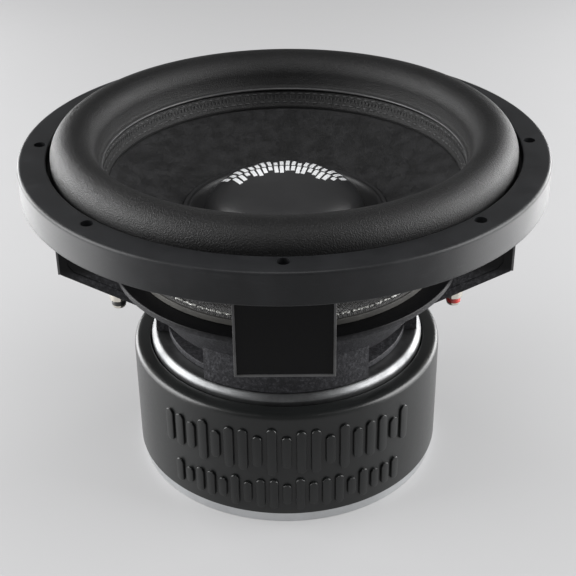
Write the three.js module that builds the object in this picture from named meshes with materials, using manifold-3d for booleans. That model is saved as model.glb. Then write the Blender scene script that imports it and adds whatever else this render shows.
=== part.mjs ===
// A deep 12-inch car subwoofer driver, face up and standing on its back plate.
// Millimetres, +Z up along the cone's travel, origin at the centre of the back plate's underside.
// The front of the driver faces -Y, and the two terminal arms point along +X and -X.
import * as THREE from "three";
import { mergeVertices } from "three/addons/utils/BufferGeometryUtils.js";
import Module from "manifold-3d";

const wasm = await Module();
wasm.setup();

// ---------- Driving dimensions ----------
const GAP = 0.3; // between pieces that touch or are glued
const OVERLAP = 2; // how far one part of a casting runs into the next
const BITE = 1; // how far a web, rib or foot runs into its plate
const ROUND_SHARE = 0.3; // place of a round's middle point, as a share of its radius

// Mounting flange and trim ring
const FRAME_OD = 320;
const TRIM_WIDTH = 17;
const TRIM_HEIGHT = 20;
const TRIM_SKIRT = 3.2;
const TRIM_EDGE_ROUND = 2.5;
const FLANGE_THICKNESS = 10.7;
const FLANGE_LEDGE = 12; // how far the flange reaches inside the trim ring
const BOLT_COUNT = 8;
const BOLT_INSET = 11.5; // hole centre to the trim's outer edge
const BOLT_HOLE_RADIUS = 3.65;

// Motor
const BACK_PLATE_THICKNESS = 16;
const BACK_PLATE_FOOT = 7; // height of the wider bottom step
const BACK_PLATE_INSET = 1.5; // bottom step inside the boot's face
const MAGNET_COUNT = 3;
const MAGNET_THICKNESS = 19.6;
const MAGNET_OD = 193;
const TOP_PLATE_THICKNESS = 12;
const TOP_PLATE_SETBACK = 8.1; // top plate edge inside the magnets' edge
const TOP_PLATE_CHAMFER = 3; // on the top plate's upper edge
const PLATE_CHAMFER = 1;
const BOOT_WALL = 3.2;
const BOOT_LIP_HEIGHT = 6;
const BOOT_SHOULDER = 4;
const BOOT_CLEARANCE = 1.2; // boot lip to the top plate
const POLE_VENT_RADIUS = 14;
const POLE_VENT_FLARE = 5;
const POLE_SPIGOT = 6; // wall of the pole's foot, pressed into the back plate
const POLE_RISE = 0.5; // pole top above the top plate
const SPIGOT_LIFT = 0.5; // pole's spigot above the floor

// Voice coil
const FORMER_BORE = 74;
const FORMER_WALL = 0.8;
const FORMER_TAIL = 3; // former below the winding
const COIL_WALL = 3;
const COIL_LENGTH = 22; // of each of the two windings
const COIL_CLEARANCE = 0.9;
const MAGNET_BORE_MARGIN = 8; // magnet bore outside the top plate's bore
const SHORTING_WALL = 5;
const SHORTING_HEIGHT = 28;

// Basket
const BASKET_DEPTH = 105.7; // base to the underside of the flange
const LEDGE_RADIUS = 108.5;
const LEDGE_HEIGHT = 52.2; // base to the top of the spider ledge
const LEDGE_THICKNESS = 4;
const LEDGE_WIDTH = 20.5;
const BOWL_WALL = 3.5;
const BOWL_FLOOR_HEIGHT = 16.3;
const BOWL_SETBACK = 5.2; // bowl's lower edge inside the feet
const LEDGE_OVERHANG = 4.5; // ledge outside the bowl's upper edge
const BASE_THICKNESS = 3.9;
const BASE_WIDTH = 17.6;
const BASE_SETBACK = 2.4; // base ring inside the bowl's lower edge
const FOOT_SETBACK = 3.2; // feet inside the top plate's edge
const WIDE_FOOT = 100; // front and back feet
const NARROW_FOOT = 28; // feet under the terminal arms
const ARM_WIDTH = 55;
const ARM_WALL = 6;
const ARM_INSET = 3; // arm face inside the trim ring's bore
const ARM_TOE = 17.84; // ledge top to the arm's underside below the ledge's edge
const ARM_SLOPE = 0.487; // fall of the arm's lower plate for each mm inwards
const ARM_WEB = 5;
const ARM_WEB_DEPTH = 7;
const ARM_RIB = 1.2;
const ARM_RIB_WIDTH = 2.5;
const SCREW_RADIUS = 3;
const SCREW_HEAD_RADIUS = 5;
const SCREW_HEAD_HEIGHT = 6;
const SCREW_BITE = 9;
const SCREW_CLEARANCE = 0.4;
const SCREW_HOLE_SPARE = 1; // tapped hole beyond the screw's end
const SCREW_ANGLES = [0, 60, 90, 120, 180, 240, 270, 300];

// Suspension and cone
const SURROUND_GAP = 2.5; // outer foot of the roll to the trim ring's bore
const SURROUND_THICKNESS = 2.4;
const SURROUND_LIP = 2.2;
const ROLL_RADIUS = 13.5;
const ROLL_STEPS = 6; // facets over the roll
const ROLL_LIFT = 0.4; // roll centre above the trim's face
const BAND_INSET = 1.5;
const BAND_TOP_DROP = 9.9;
const BAND_SLANT = 3.5;
const BAND_HEIGHT = 12;
const CONE_THICKNESS = 1.8;
const CONE_NECK_RISE = 12; // neck above the spider
const CONE_NECK_LENGTH = 5;
const CAP_FLANGE_RADIUS = 64;
const CAP_DOME_RADIUS = 50.5;
const CAP_DOME_HEIGHT = 27;
const CAP_DOME_STEPS = 5; // facets up the dome
const CAP_THICKNESS = 1.4;
const CAP_BEAD = 2;
const SPIDER_WAVES = 4;
const SPIDER_WAVE_HEIGHT = 4;
const SPIDER_THICKNESS = 1.2;
const SPIDER_RIM = 7;
const SPIDER_COLLAR = 3;
const SPIDER_INSET = 1; // spider's edge inside the spacer's
const SPACER_WIDTH = 9.2;
const SPACER_HEIGHT = 3.6;

// Push terminals
const TERMINAL_INSET = 1.5; // barrel centre inside the ledge's edge
const TERMINAL_SPACING = 26;
const BARREL_RADIUS = 5.7;
const BARREL_BORE = 5.1;
const BARREL_LIP_BORE = 4.7;
const BARREL_LIP = 2;
const BARREL_TAIL = 9; // barrel below the arm
const BARREL_LENGTH = 21;
const CAP_RADIUS = 4.45;
const CAP_SHOULDER_RADIUS = 4.9;
const CAP_SHOULDER = 3.5;
const CAP_REACH = 6; // push cap below the barrel
const SPRING_RADIUS = 4.4;
const SPRING_WALL = 1.1;
const BLOCK_REACH = 10; // block inside the barrels' centre line
const TAB_OFFSET = 5; // solder tab outside the ledge's edge
const TAB_MARGIN = 3.5; // block outside the tab
const BLOCK_WIDTH = 41;
const BLOCK_HEADROOM = 4;
const TAB_WIDTH = 5;
const TAB_THICKNESS = 0.8;
const TAB_HEIGHT = 12;
const LEAD_RADIUS = 1.1;
const LEAD_END_GAP = 0.85; // end of the lead to the coil former
const LEAD_STEPS = 10;
const LEAD_ARC = 4; // facets over a lead
// Along a lead: share of its reach, of its tab's offset and of its height, and its lift in mm.
const LEAD_STOPS = [
  [1, 1, 1, 0],
  [0.9, 1, 1, 0],
  [0.66, 0.85, 1, 1],
  [0.36, 0.6, 0.5, 1],
  [0.12, 0.45, 0, 0],
  [0, 0.4, 0, 0],
];

// Facets around each kind of turned piece
const LARGE = 40;
const MEDIUM = 28;
const SLIM = 12;
const SMALL = 8;

// ---------- Heights, from the floor up ----------
const magnetBase = (i) => BACK_PLATE_THICKNESS + GAP + i * (MAGNET_THICKNESS + GAP);
const plateBottom = magnetBase(MAGNET_COUNT);
const plateTop = plateBottom + TOP_PLATE_THICKNESS;
const baseBottom = plateTop + GAP;
const baseTop = baseBottom + BASE_THICKNESS;
const bowlFloor = baseBottom + BOWL_FLOOR_HEIGHT;
const ledgeTop = baseBottom + LEDGE_HEIGHT;
const ledgeUnder = ledgeTop - LEDGE_THICKNESS;
const flangeBottom = baseBottom + BASKET_DEPTH;
const flangeTop = flangeBottom + FLANGE_THICKNESS;
const trimTop = flangeBottom + TRIM_HEIGHT;
const lipBottom = flangeTop + GAP;
const lipTop = lipBottom + SURROUND_LIP;
const rollZ = trimTop + ROLL_LIFT;
const bandTop = rollZ - BAND_TOP_DROP;
const bandBottom = bandTop - BAND_HEIGHT;
const coneRimTop = bandBottom - GAP;
const spacerTop = ledgeTop + GAP + SPACER_HEIGHT;
const spiderZ = spacerTop + GAP;
const neckZ = spiderZ + CONE_NECK_RISE;
const gapMiddle = (plateBottom + plateTop) / 2;
const coilBottom = gapMiddle - COIL_LENGTH - GAP / 2;
const poleTop = plateTop + POLE_RISE;

// ---------- Radii ----------
const frameRadius = FRAME_OD / 2;
const trimBore = frameRadius - TRIM_WIDTH;
const flangeRadius = frameRadius - TRIM_SKIRT - GAP;
const flangeBore = trimBore - FLANGE_LEDGE;
const boltCircle = frameRadius - BOLT_INSET;
const seamRadius = boltCircle - BOLT_HOLE_RADIUS - 2 * GAP; // surround's lip meets the trim here
const armFace = trimBore - ARM_INSET;
const rollFoot = trimBore - SURROUND_GAP;
const rollCentre = rollFoot - ROLL_RADIUS;
const bandTopRadius = rollCentre - ROLL_RADIUS - BAND_INSET;
const bandBottomRadius = bandTopRadius - BAND_SLANT;
const coneRim = bandBottomRadius + BAND_SLANT;
const magnetRadius = MAGNET_OD / 2;
const topPlateRadius = magnetRadius - TOP_PLATE_SETBACK;
const bootRadius = magnetRadius + GAP + BOOT_WALL;
const backPlateRadius = bootRadius - BACK_PLATE_INSET;
const ventMouth = POLE_VENT_RADIUS + POLE_VENT_FLARE;
const spigotRadius = ventMouth + POLE_SPIGOT;
const formerInner = FORMER_BORE / 2;
const formerOuter = formerInner + FORMER_WALL;
const coilInner = formerOuter + GAP;
const coilOuter = coilInner + COIL_WALL;
const poleRadius = formerInner - COIL_CLEARANCE;
const plateBore = coilOuter + COIL_CLEARANCE;
const magnetBore = plateBore + MAGNET_BORE_MARGIN;
const shortingOuter = magnetBore - GAP;
const footRadius = topPlateRadius - FOOT_SETBACK;
const bowlFloorRadius = footRadius - BOWL_SETBACK;
const baseRadius = bowlFloorRadius - BASE_SETBACK;
const baseBore = baseRadius - BASE_WIDTH;
const screwCircle = (baseRadius + baseBore) / 2;
const footInner = screwCircle + SCREW_HEAD_RADIUS + GAP;
const terminalRadius = LEDGE_RADIUS - TERMINAL_INSET;
const tabRadius = LEDGE_RADIUS + TAB_OFFSET;
const ledgeInner = LEDGE_RADIUS - LEDGE_WIDTH;
const spacerOuter = ledgeInner + SPACER_WIDTH;
const spiderRadius = spacerOuter - SPIDER_INSET;
const neckRadius = formerOuter + GAP;

// The cone's face is one straight line from its rim to its neck.
const coneFall = (coneRimTop - neckZ) / (bandBottomRadius - neckRadius);
const coneFace = (r) => neckZ + (r - neckRadius) * coneFall;
// Outer face of the bowl between its floor and the ledge, and of the lower plate of each arm.
const bowlTopRadius = LEDGE_RADIUS - LEDGE_OVERHANG;
const bowlFlare = (bowlTopRadius - bowlFloorRadius) / (ledgeUnder - bowlFloor);
const bowlFace = (z) => bowlFloorRadius + (z - bowlFloor) * bowlFlare;
const armUnder = (r) => ledgeTop - ARM_TOE + (r - LEDGE_RADIUS) * ARM_SLOPE;
const armCorner = armUnder(armFace);
const armPlateRise = ARM_WALL * Math.hypot(1, ARM_SLOPE);
const armOver = (r) => armUnder(r) + armPlateRise;

// ---------- Solids ----------
function solidOf(geometry) {
  const bare = geometry.clone();
  bare.deleteAttribute("normal");
  bare.deleteAttribute("uv");
  const merged = mergeVertices(bare);
  const vertProperties = new Float32Array(merged.attributes.position.array);
  const triVerts = new Uint32Array(merged.index.array);
  return new wasm.Manifold(new wasm.Mesh({ numProp: 3, vertProperties, triVerts }));
}

function geometryOf(solid) {
  const { vertProperties, triVerts } = solid.getMesh();
  const geometry = new THREE.BufferGeometry();
  geometry.setAttribute("position", new THREE.BufferAttribute(new Float32Array(vertProperties), 3));
  geometry.setIndex(new THREE.BufferAttribute(new Uint32Array(triVerts), 1));
  const flat = geometry.toNonIndexed();
  flat.computeVertexNormals();
  return flat;
}

// A turned solid about Z from [radius, height] points, which go round the section anticlockwise.
function turned(section, facets) {
  const points = section.map(([r, z]) => new THREE.Vector2(r, z));
  const opensOnAxis = section[0][0] === 0 && section[section.length - 1][0] === 0;
  if (!opensOnAxis) points.push(points[0].clone());
  return solidOf(new THREE.LatheGeometry(points, facets).rotateX(Math.PI / 2));
}

function ring(inner, outer, bottom, top, facets) {
  return turned([[inner, bottom], [outer, bottom], [outer, top], [inner, top]], facets);
}

// A plate cut to [x, z] points, width mm wide along Y and centred on y.
function plate(outline, width, y = 0) {
  const shape = new THREE.Shape(outline.map(([x, z]) => new THREE.Vector2(x, z)));
  const geometry = new THREE.ExtrudeGeometry(shape, { depth: width, bevelEnabled: false });
  return solidOf(geometry.rotateX(Math.PI / 2).translate(0, y + width / 2, 0));
}

function box(x0, x1, y0, y1, z0, z1) {
  const geometry = new THREE.BoxGeometry(x1 - x0, y1 - y0, z1 - z0);
  return solidOf(geometry.translate((x0 + x1) / 2, (y0 + y1) / 2, (z0 + z1) / 2));
}

function rod(radius, bottom, top, x, y, facets = SMALL) {
  const geometry = new THREE.CylinderGeometry(radius, radius, top - bottom, facets);
  return solidOf(geometry.rotateX(Math.PI / 2).translate(x, y, (bottom + top) / 2));
}

const joined = (solids) => solids.reduce((whole, piece) => whole.add(piece));
const spun = (solid, degrees) => solid.rotate([0, 0, degrees]);
const onCircle = (radius, degrees) => {
  const angle = THREE.MathUtils.degToRad(degrees);
  return [radius * Math.cos(angle), radius * Math.sin(angle)];
};

// ---------- Materials ----------
const finish = (color, roughness, metalness) =>
  () => new THREE.MeshStandardMaterial({ color, roughness, metalness });
const trimRubber = finish(0x3a3b3d, 0.55, 0);
const blackCasting = finish(0x121212, 0.45, 0.3);
const rollFoam = finish(0x1c1c1d, 0.5, 0);
const conePaper = finish(0x1b1b1b, 0.8, 0);
const bootRubber = finish(0x222424, 0.35, 0);
const zincPlate = finish(0xd8dadc, 0.2, 1);
const turnedSteel = finish(0x8d8f92, 0.4, 1);
const ferrite = finish(0x2a2b2d, 0.8, 0);
const bareAluminium = finish(0xbfc1c3, 0.35, 1);
const copperWire = finish(0xa4572a, 0.4, 1);
const spiderCloth = finish(0x25252a, 0.95, 0);
const spacerBoard = finish(0x8a8880, 0.8, 0);
const terminalPlastic = finish(0x18181a, 0.5, 0);
const nickel = finish(0xc9c5b8, 0.25, 1);
const redCap = finish(0x8e1f14, 0.4, 0);
const blackCap = finish(0x161616, 0.4, 0);
const springSteel = finish(0x9a9c9e, 0.35, 1);
const brassTab = finish(0xb59a55, 0.35, 1);
const tinselBraid = finish(0xb7b2a6, 0.5, 0.8);
const blackOxide = finish(0x202122, 0.5, 0.8);

const group = new THREE.Group();

function addPiece(name, solid, material, parent = group) {
  const mesh = new THREE.Mesh(geometryOf(solid), material());
  mesh.name = name;
  parent.add(mesh);
  return mesh;
}

// ---------- Motor ----------
const bootBottom = BACK_PLATE_FOOT + GAP;

function backPlate() {
  const bore = spigotRadius + GAP;
  return turned([
    [bore, 0],
    [backPlateRadius - PLATE_CHAMFER, 0],
    [backPlateRadius, PLATE_CHAMFER],
    [backPlateRadius, BACK_PLATE_FOOT],
    [magnetRadius, BACK_PLATE_FOOT],
    [magnetRadius, BACK_PLATE_THICKNESS],
    [bore, BACK_PLATE_THICKNESS],
  ], LARGE);
}

// The pole stands on the back plate by a shoulder, with a spigot down its bore and a flared vent.
function polePiece() {
  const shoulder = BACK_PLATE_THICKNESS + GAP;
  return turned([
    [ventMouth, SPIGOT_LIFT],
    [spigotRadius, SPIGOT_LIFT],
    [spigotRadius, shoulder],
    [poleRadius, shoulder],
    [poleRadius, poleTop],
    [POLE_VENT_RADIUS, poleTop],
    [POLE_VENT_RADIUS, shoulder],
  ], MEDIUM);
}

function topPlate() {
  const blank = turned([
    [plateBore, plateBottom],
    [topPlateRadius - PLATE_CHAMFER, plateBottom],
    [topPlateRadius, plateBottom + PLATE_CHAMFER],
    [topPlateRadius, plateTop - TOP_PLATE_CHAMFER],
    [topPlateRadius - TOP_PLATE_CHAMFER, plateTop],
    [plateBore, plateTop],
  ], LARGE);
  const holes = SCREW_ANGLES.map((degrees) => rod(SCREW_RADIUS + SCREW_CLEARANCE,
    plateTop - SCREW_BITE - SCREW_HOLE_SPARE, plateTop + OVERLAP, ...onCircle(screwCircle, degrees)));
  return blank.subtract(joined(holes));
}

function magnetBoot() {
  const lipInner = topPlateRadius + BOOT_CLEARANCE;
  const wallInner = magnetRadius + GAP;
  const seat = plateBottom + GAP;
  const top = plateBottom + BOOT_LIP_HEIGHT;
  return turned([
    [wallInner, bootBottom],
    [bootRadius, bootBottom],
    [bootRadius, top - BOOT_SHOULDER],
    [bootRadius - ROUND_SHARE * BOOT_SHOULDER, top - ROUND_SHARE * BOOT_SHOULDER],
    [bootRadius - BOOT_SHOULDER, top],
    [lipInner, top],
    [lipInner, seat],
    [wallInner, seat],
  ], LARGE);
}

addPiece("back_plate", backPlate(), zincPlate);
addPiece("pole_piece", polePiece(), turnedSteel);
for (let i = 0; i < MAGNET_COUNT; i += 1) {
  const magnet = ring(magnetBore, magnetRadius, magnetBase(i), magnetBase(i) + MAGNET_THICKNESS, LARGE);
  addPiece(`magnet_${i + 1}`, magnet, ferrite);
}
addPiece("shorting_ring", ring(shortingOuter - SHORTING_WALL, shortingOuter,
  magnetBase(0), magnetBase(0) + SHORTING_HEIGHT, MEDIUM), bareAluminium);
addPiece("top_plate", topPlate(), zincPlate);
addPiece("magnet_boot", magnetBoot(), bootRubber);

// ---------- Basket ----------
function basketBowl() {
  const shelf = ledgeTop - BOWL_WALL;
  return turned([
    [bowlFloorRadius - BOWL_WALL, bowlFloor],
    [bowlFloorRadius, bowlFloor],
    [bowlTopRadius, ledgeUnder],
    [LEDGE_RADIUS, ledgeUnder],
    [LEDGE_RADIUS, ledgeTop],
    [ledgeInner, ledgeTop],
    [ledgeInner, shelf],
    [bowlFace(shelf) - BOWL_WALL, shelf],
  ], LARGE);
}

// Feet carry the bowl on the base ring: two wide ones, and a narrow one under each terminal arm.
function basketFeet() {
  const footTop = bowlFloor + (footRadius - bowlFloorRadius) / bowlFlare + BITE;
  const blank = turned([
    [footInner, baseBottom],
    [footRadius, baseBottom],
    [footRadius, footTop],
    [footRadius - BOWL_WALL, footTop],
    [footInner, bowlFloor - OVERLAP],
  ], LARGE);
  const half = LEDGE_RADIUS;
  const wide = box(-WIDE_FOOT / 2, WIDE_FOOT / 2, -half, half, 0, flangeBottom);
  const narrow = box(-half, half, -NARROW_FOOT / 2, NARROW_FOOT / 2, 0, flangeBottom);
  return blank.intersect(wide.add(narrow));
}

// One arm along +X: a straight outer plate, a lower plate that runs in to the bowl, three webs
// behind them and a thin rib round the edges of the face.
function basketArm() {
  const top = flangeBottom + OVERLAP;
  const back = armFace - ARM_WALL;
  const toe = bowlFace(armUnder(LEDGE_RADIUS)) - BOWL_WALL - OVERLAP;
  const skin = plate([
    [armFace, top],
    [armFace, armCorner],
    [toe, armUnder(toe)],
    [toe, armOver(toe)],
    [back, armOver(back)],
    [back, top],
  ], ARM_WIDTH);
  const webTop = armOver(back) + ARM_WEB_DEPTH;
  const web = [
    [back + BITE, top],
    [back + BITE, armOver(back) - BITE],
    [toe, armOver(toe) - BITE],
    [toe, armOver(toe) + BITE],
    [bowlTopRadius, ledgeUnder + BITE],
    [back - ARM_WEB_DEPTH, webTop],
    [back - ARM_WEB_DEPTH, top],
  ];
  const side = (ARM_WIDTH - ARM_WEB) / 2;
  const webs = [-side, 0, side].map((y) => plate(web, ARM_WEB, y));
  const ribs = [-1, 1].map((hand) => {
    const edge = hand * (ARM_WIDTH / 2 - ARM_RIB_WIDTH / 2);
    return box(armFace - BITE, armFace + ARM_RIB, edge - ARM_RIB_WIDTH / 2, edge + ARM_RIB_WIDTH / 2,
      armCorner, flangeBottom + BITE);
  });
  ribs.push(box(armFace - BITE, armFace + ARM_RIB, -ARM_WIDTH / 2, ARM_WIDTH / 2,
    armCorner, armCorner + ARM_RIB_WIDTH));
  return joined([skin, ...webs, ...ribs]);
}

const blockInner = terminalRadius - BLOCK_REACH;
const blockOuter = tabRadius + TAB_MARGIN;
const barrelBottom = armUnder(terminalRadius) - BARREL_TAIL;
const barrelTop = barrelBottom + BARREL_LENGTH;
const blockTop = barrelTop + BLOCK_HEADROOM;

// The space that a terminal block takes, and margin mm more on every side.
function blockSpace(margin) {
  return plate([
    [blockInner - margin, armOver(blockInner - margin) + GAP - margin],
    [blockOuter + margin, armOver(blockOuter + margin) + GAP - margin],
    [blockOuter + margin, blockTop + margin],
    [blockInner - margin, blockTop + margin],
  ], BLOCK_WIDTH + 2 * margin);
}

const postSides = [-TERMINAL_SPACING / 2, TERMINAL_SPACING / 2];
const barrelHoles = (radius, bottom, top) =>
  joined(postSides.map((y) => rod(radius, bottom, top, terminalRadius, y, SLIM)));

function boltHoles() {
  return joined(Array.from({ length: BOLT_COUNT }, (_, i) =>
    rod(BOLT_HOLE_RADIUS, 0, 2 * trimTop, ...onCircle(boltCircle, 90 + (i * 360) / BOLT_COUNT))));
}

function basket() {
  const flange = ring(flangeBore, flangeRadius, flangeBottom, flangeTop, LARGE);
  const base = ring(baseBore, baseRadius, baseBottom, baseTop, LARGE);
  const arm = basketArm();
  const arms = [0, 90, 180, 270].map((degrees) => spun(arm, degrees));
  const casting = joined([flange, basketBowl(), basketFeet(), base, ...arms]);
  const screwHoles = SCREW_ANGLES.map((degrees) => rod(SCREW_RADIUS + SCREW_CLEARANCE, 0,
    baseTop + OVERLAP, ...onCircle(screwCircle, degrees)));
  const pocket = blockSpace(GAP).add(barrelHoles(BARREL_RADIUS + GAP, 0, blockTop));
  const cuts = [boltHoles(), ...screwHoles, pocket, spun(pocket, 180)];
  return casting.subtract(joined(cuts));
}

function trimRing() {
  const blank = turned([
    [trimBore, lipTop + GAP],
    [seamRadius + GAP, lipTop + GAP],
    [seamRadius + GAP, lipBottom],
    [flangeRadius + GAP, lipBottom],
    [flangeRadius + GAP, flangeBottom],
    [frameRadius, flangeBottom],
    [frameRadius, trimTop - TRIM_EDGE_ROUND],
    [frameRadius - ROUND_SHARE * TRIM_EDGE_ROUND, trimTop - ROUND_SHARE * TRIM_EDGE_ROUND],
    [frameRadius - TRIM_EDGE_ROUND, trimTop],
    [trimBore, trimTop],
  ], LARGE);
  return blank.subtract(boltHoles());
}

function basketScrew() {
  const seat = baseTop + GAP;
  return turned([
    [0, plateTop - SCREW_BITE],
    [SCREW_RADIUS, plateTop - SCREW_BITE],
    [SCREW_RADIUS, seat],
    [SCREW_HEAD_RADIUS, seat],
    [SCREW_HEAD_RADIUS, seat + SCREW_HEAD_HEIGHT],
    [0, seat + SCREW_HEAD_HEIGHT],
  ], SMALL);
}

addPiece("basket", basket(), blackCasting);
addPiece("trim_ring", trimRing(), trimRubber);
SCREW_ANGLES.forEach((degrees, i) => {
  const screw = addPiece(`basket_screw_${i + 1}`, basketScrew(), blackOxide);
  const [x, y] = onCircle(screwCircle, degrees);
  screw.position.set(x, y, 0);
});

// ---------- Suspension ----------
// A tall half roll: its outer leg stands on the flange, and its inner leg is the stitched band
// that meets the cone.
function surround() {
  const thin = SURROUND_THICKNESS;
  const arc = (radius, from, to) => Array.from({ length: ROLL_STEPS + 1 }, (_, i) => {
    const angle = THREE.MathUtils.degToRad(from + ((to - from) * i) / ROLL_STEPS);
    return [rollCentre + radius * Math.cos(angle), rollZ + radius * Math.sin(angle)];
  });
  return turned([
    [bandBottomRadius + thin, bandBottom],
    [bandTopRadius + thin, bandTop],
    ...arc(ROLL_RADIUS - thin, 180, 0),
    [rollFoot - thin, lipBottom],
    [seamRadius, lipBottom],
    [seamRadius, lipTop],
    [rollFoot, lipTop],
    ...arc(ROLL_RADIUS, 0, 180),
    [bandTopRadius, bandTop],
    [bandBottomRadius, bandBottom],
  ], LARGE);
}

// A corrugated cloth disc between the ledge and the coil former.
function spider() {
  const inner = formerOuter + GAP;
  const first = inner + SPIDER_COLLAR;
  const last = spiderRadius - SPIDER_RIM;
  const steps = 2 * SPIDER_WAVES;
  const under = [[inner, spiderZ]];
  for (let i = 0; i <= steps; i += 1) {
    const rise = i % 2 ? SPIDER_WAVE_HEIGHT / 2 : -SPIDER_WAVE_HEIGHT / 2;
    const level = i === 0 || i === steps ? 0 : rise;
    under.push([first + ((last - first) * i) / steps, spiderZ + level]);
  }
  under.push([spiderRadius, spiderZ]);
  const over = under.map(([r, z]) => [r, z + SPIDER_THICKNESS]).reverse();
  return turned([...under, ...over], MEDIUM);
}

addPiece("surround", surround(), rollFoam);
addPiece("spider", spider(), spiderCloth);
addPiece("spider_spacer", ring(ledgeInner, spacerOuter, ledgeTop + GAP, spacerTop, LARGE), spacerBoard);

// ---------- Cone and coil ----------
function cone() {
  const drop = CONE_THICKNESS * Math.hypot(1, coneFall);
  const neckOuter = neckRadius + CONE_THICKNESS;
  return turned([
    [neckRadius, neckZ - CONE_NECK_LENGTH],
    [neckOuter, neckZ - CONE_NECK_LENGTH],
    [neckOuter, coneFace(neckOuter) - drop],
    [bandBottomRadius, coneRimTop - drop],
    [coneRim, coneRimTop - CONE_THICKNESS],
    [coneRim, coneRimTop],
    [bandBottomRadius, coneRimTop],
    [neckRadius, neckZ],
  ], LARGE);
}

// A dome on a flange that is glued to the cone, with a raised bead at its outer edge.
function dustCap() {
  const seat = (r) => coneFace(r) + GAP * Math.hypot(1, coneFall);
  const edge = CAP_FLANGE_RADIUS;
  const bead = edge - 2 * CAP_BEAD;
  const groove = CAP_DOME_RADIUS + CAP_BEAD;
  const domeBase = seat(CAP_DOME_RADIUS) + CAP_THICKNESS + CAP_BEAD;
  const dome = (radius, height) => Array.from({ length: CAP_DOME_STEPS + 1 }, (_, i) => {
    const angle = (Math.PI / 2) * (i / CAP_DOME_STEPS);
    const r = i === CAP_DOME_STEPS ? 0 : radius * Math.cos(angle);
    return [r, domeBase + height * Math.sin(angle)];
  });
  const inside = dome(CAP_DOME_RADIUS - CAP_THICKNESS, CAP_DOME_HEIGHT - CAP_THICKNESS).reverse();
  return turned([
    ...inside,
    [CAP_DOME_RADIUS - CAP_THICKNESS, seat(CAP_DOME_RADIUS)],
    [edge, seat(edge)],
    [edge, seat(edge) + CAP_THICKNESS / 2],
    [bead, seat(bead) + CAP_THICKNESS + CAP_BEAD],
    [groove, seat(groove) + CAP_THICKNESS],
    ...dome(CAP_DOME_RADIUS, CAP_DOME_HEIGHT),
  ], MEDIUM);
}

addPiece("cone", cone(), conePaper);
addPiece("dust_cap", dustCap(), conePaper);
addPiece("coil_former", ring(formerInner, formerOuter, coilBottom - FORMER_TAIL, neckZ, MEDIUM),
  bareAluminium);
["lower", "upper"].forEach((level, i) => {
  const bottom = coilBottom + i * (COIL_LENGTH + GAP);
  const winding = ring(coilInner, coilOuter, bottom, bottom + COIL_LENGTH, MEDIUM);
  addPiece(`voice_coil_${level}`, winding, copperWire);
});

// ---------- Push terminals and tinsel leads ----------
function terminalBlock() {
  const ceiling = barrelTop + GAP;
  return blockSpace(0).subtract(barrelHoles(BARREL_RADIUS + GAP, 0, ceiling));
}

function terminalBarrel() {
  return turned([
    [BARREL_LIP_BORE, barrelBottom],
    [BARREL_RADIUS, barrelBottom],
    [BARREL_RADIUS, barrelTop],
    [BARREL_BORE, barrelTop],
    [BARREL_BORE, barrelBottom + BARREL_LIP],
    [BARREL_LIP_BORE, barrelBottom + BARREL_LIP],
  ], SLIM);
}

const shoulderBottom = barrelBottom + BARREL_LIP + GAP;
const shoulderTop = shoulderBottom + CAP_SHOULDER;

function pushCap() {
  return turned([
    [0, barrelBottom - CAP_REACH],
    [CAP_RADIUS, barrelBottom - CAP_REACH],
    [CAP_RADIUS, shoulderBottom],
    [CAP_SHOULDER_RADIUS, shoulderBottom],
    [CAP_SHOULDER_RADIUS, shoulderTop],
    [0, shoulderTop],
  ], SLIM);
}

function solderTab() {
  return box(-TAB_THICKNESS / 2, TAB_THICKNESS / 2, -TAB_WIDTH / 2, TAB_WIDTH / 2,
    blockTop + GAP, blockTop + GAP + TAB_HEIGHT);
}

// A flexible lead from the inner face of a solder tab, over the spider to the coil former.
function tinselLead(y) {
  const start = tabRadius - TAB_THICKNESS / 2 - GAP;
  const end = formerOuter + LEAD_END_GAP;
  const high = blockTop + TAB_HEIGHT - LEAD_RADIUS;
  const low = spiderZ + SPIDER_WAVE_HEIGHT + LEAD_RADIUS + GAP;
  const route = new THREE.CatmullRomCurve3(LEAD_STOPS.map(([out, aside, up, lift]) =>
    new THREE.Vector3(end + out * (start - end), aside * y, low + up * (high - low) + lift)));
  const section = new THREE.Shape();
  section.absarc(0, 0, LEAD_RADIUS, 0, 2 * Math.PI);
  const options = { steps: LEAD_STEPS, curveSegments: LEAD_ARC, bevelEnabled: false, extrudePath: route };
  return solidOf(new THREE.ExtrudeGeometry(section, options));
}

["right", "left"].forEach((side, turn) => {
  const station = new THREE.Group();
  station.rotation.z = turn * Math.PI;
  group.add(station);
  addPiece(`terminal_block_${side}`, terminalBlock(), terminalPlastic, station);
  postSides.forEach((y) => {
    const near = (turn === 0) === (y < 0);
    const post = `${side}_${near ? "front" : "back"}`;
    const capColour = y < 0 ? redCap : blackCap;
    const spring = ring(SPRING_RADIUS - SPRING_WALL, SPRING_RADIUS,
      shoulderTop + GAP, barrelTop - GAP, SMALL);
    const pieces = [
      [`terminal_barrel_${post}`, terminalBarrel(), nickel, terminalRadius],
      [`push_cap_${post}`, pushCap(), capColour, terminalRadius],
      [`terminal_spring_${post}`, spring, springSteel, terminalRadius],
      [`solder_tab_${post}`, solderTab(), brassTab, tabRadius],
    ];
    for (const [name, solid, material, x] of pieces) {
      addPiece(name, solid, material, station).position.set(x, y, 0);
    }
    addPiece(`tinsel_lead_${post}`, tinselLead(y), tinselBraid, station);
  });
});

export default group;
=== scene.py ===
"""A deep 12-inch car subwoofer driver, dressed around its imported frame, in metres."""
import math
import random

import bmesh
import bpy
from bpy.props import FloatProperty, FloatVectorProperty, IntProperty, PointerProperty
from mathutils import Matrix, Vector


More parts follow.
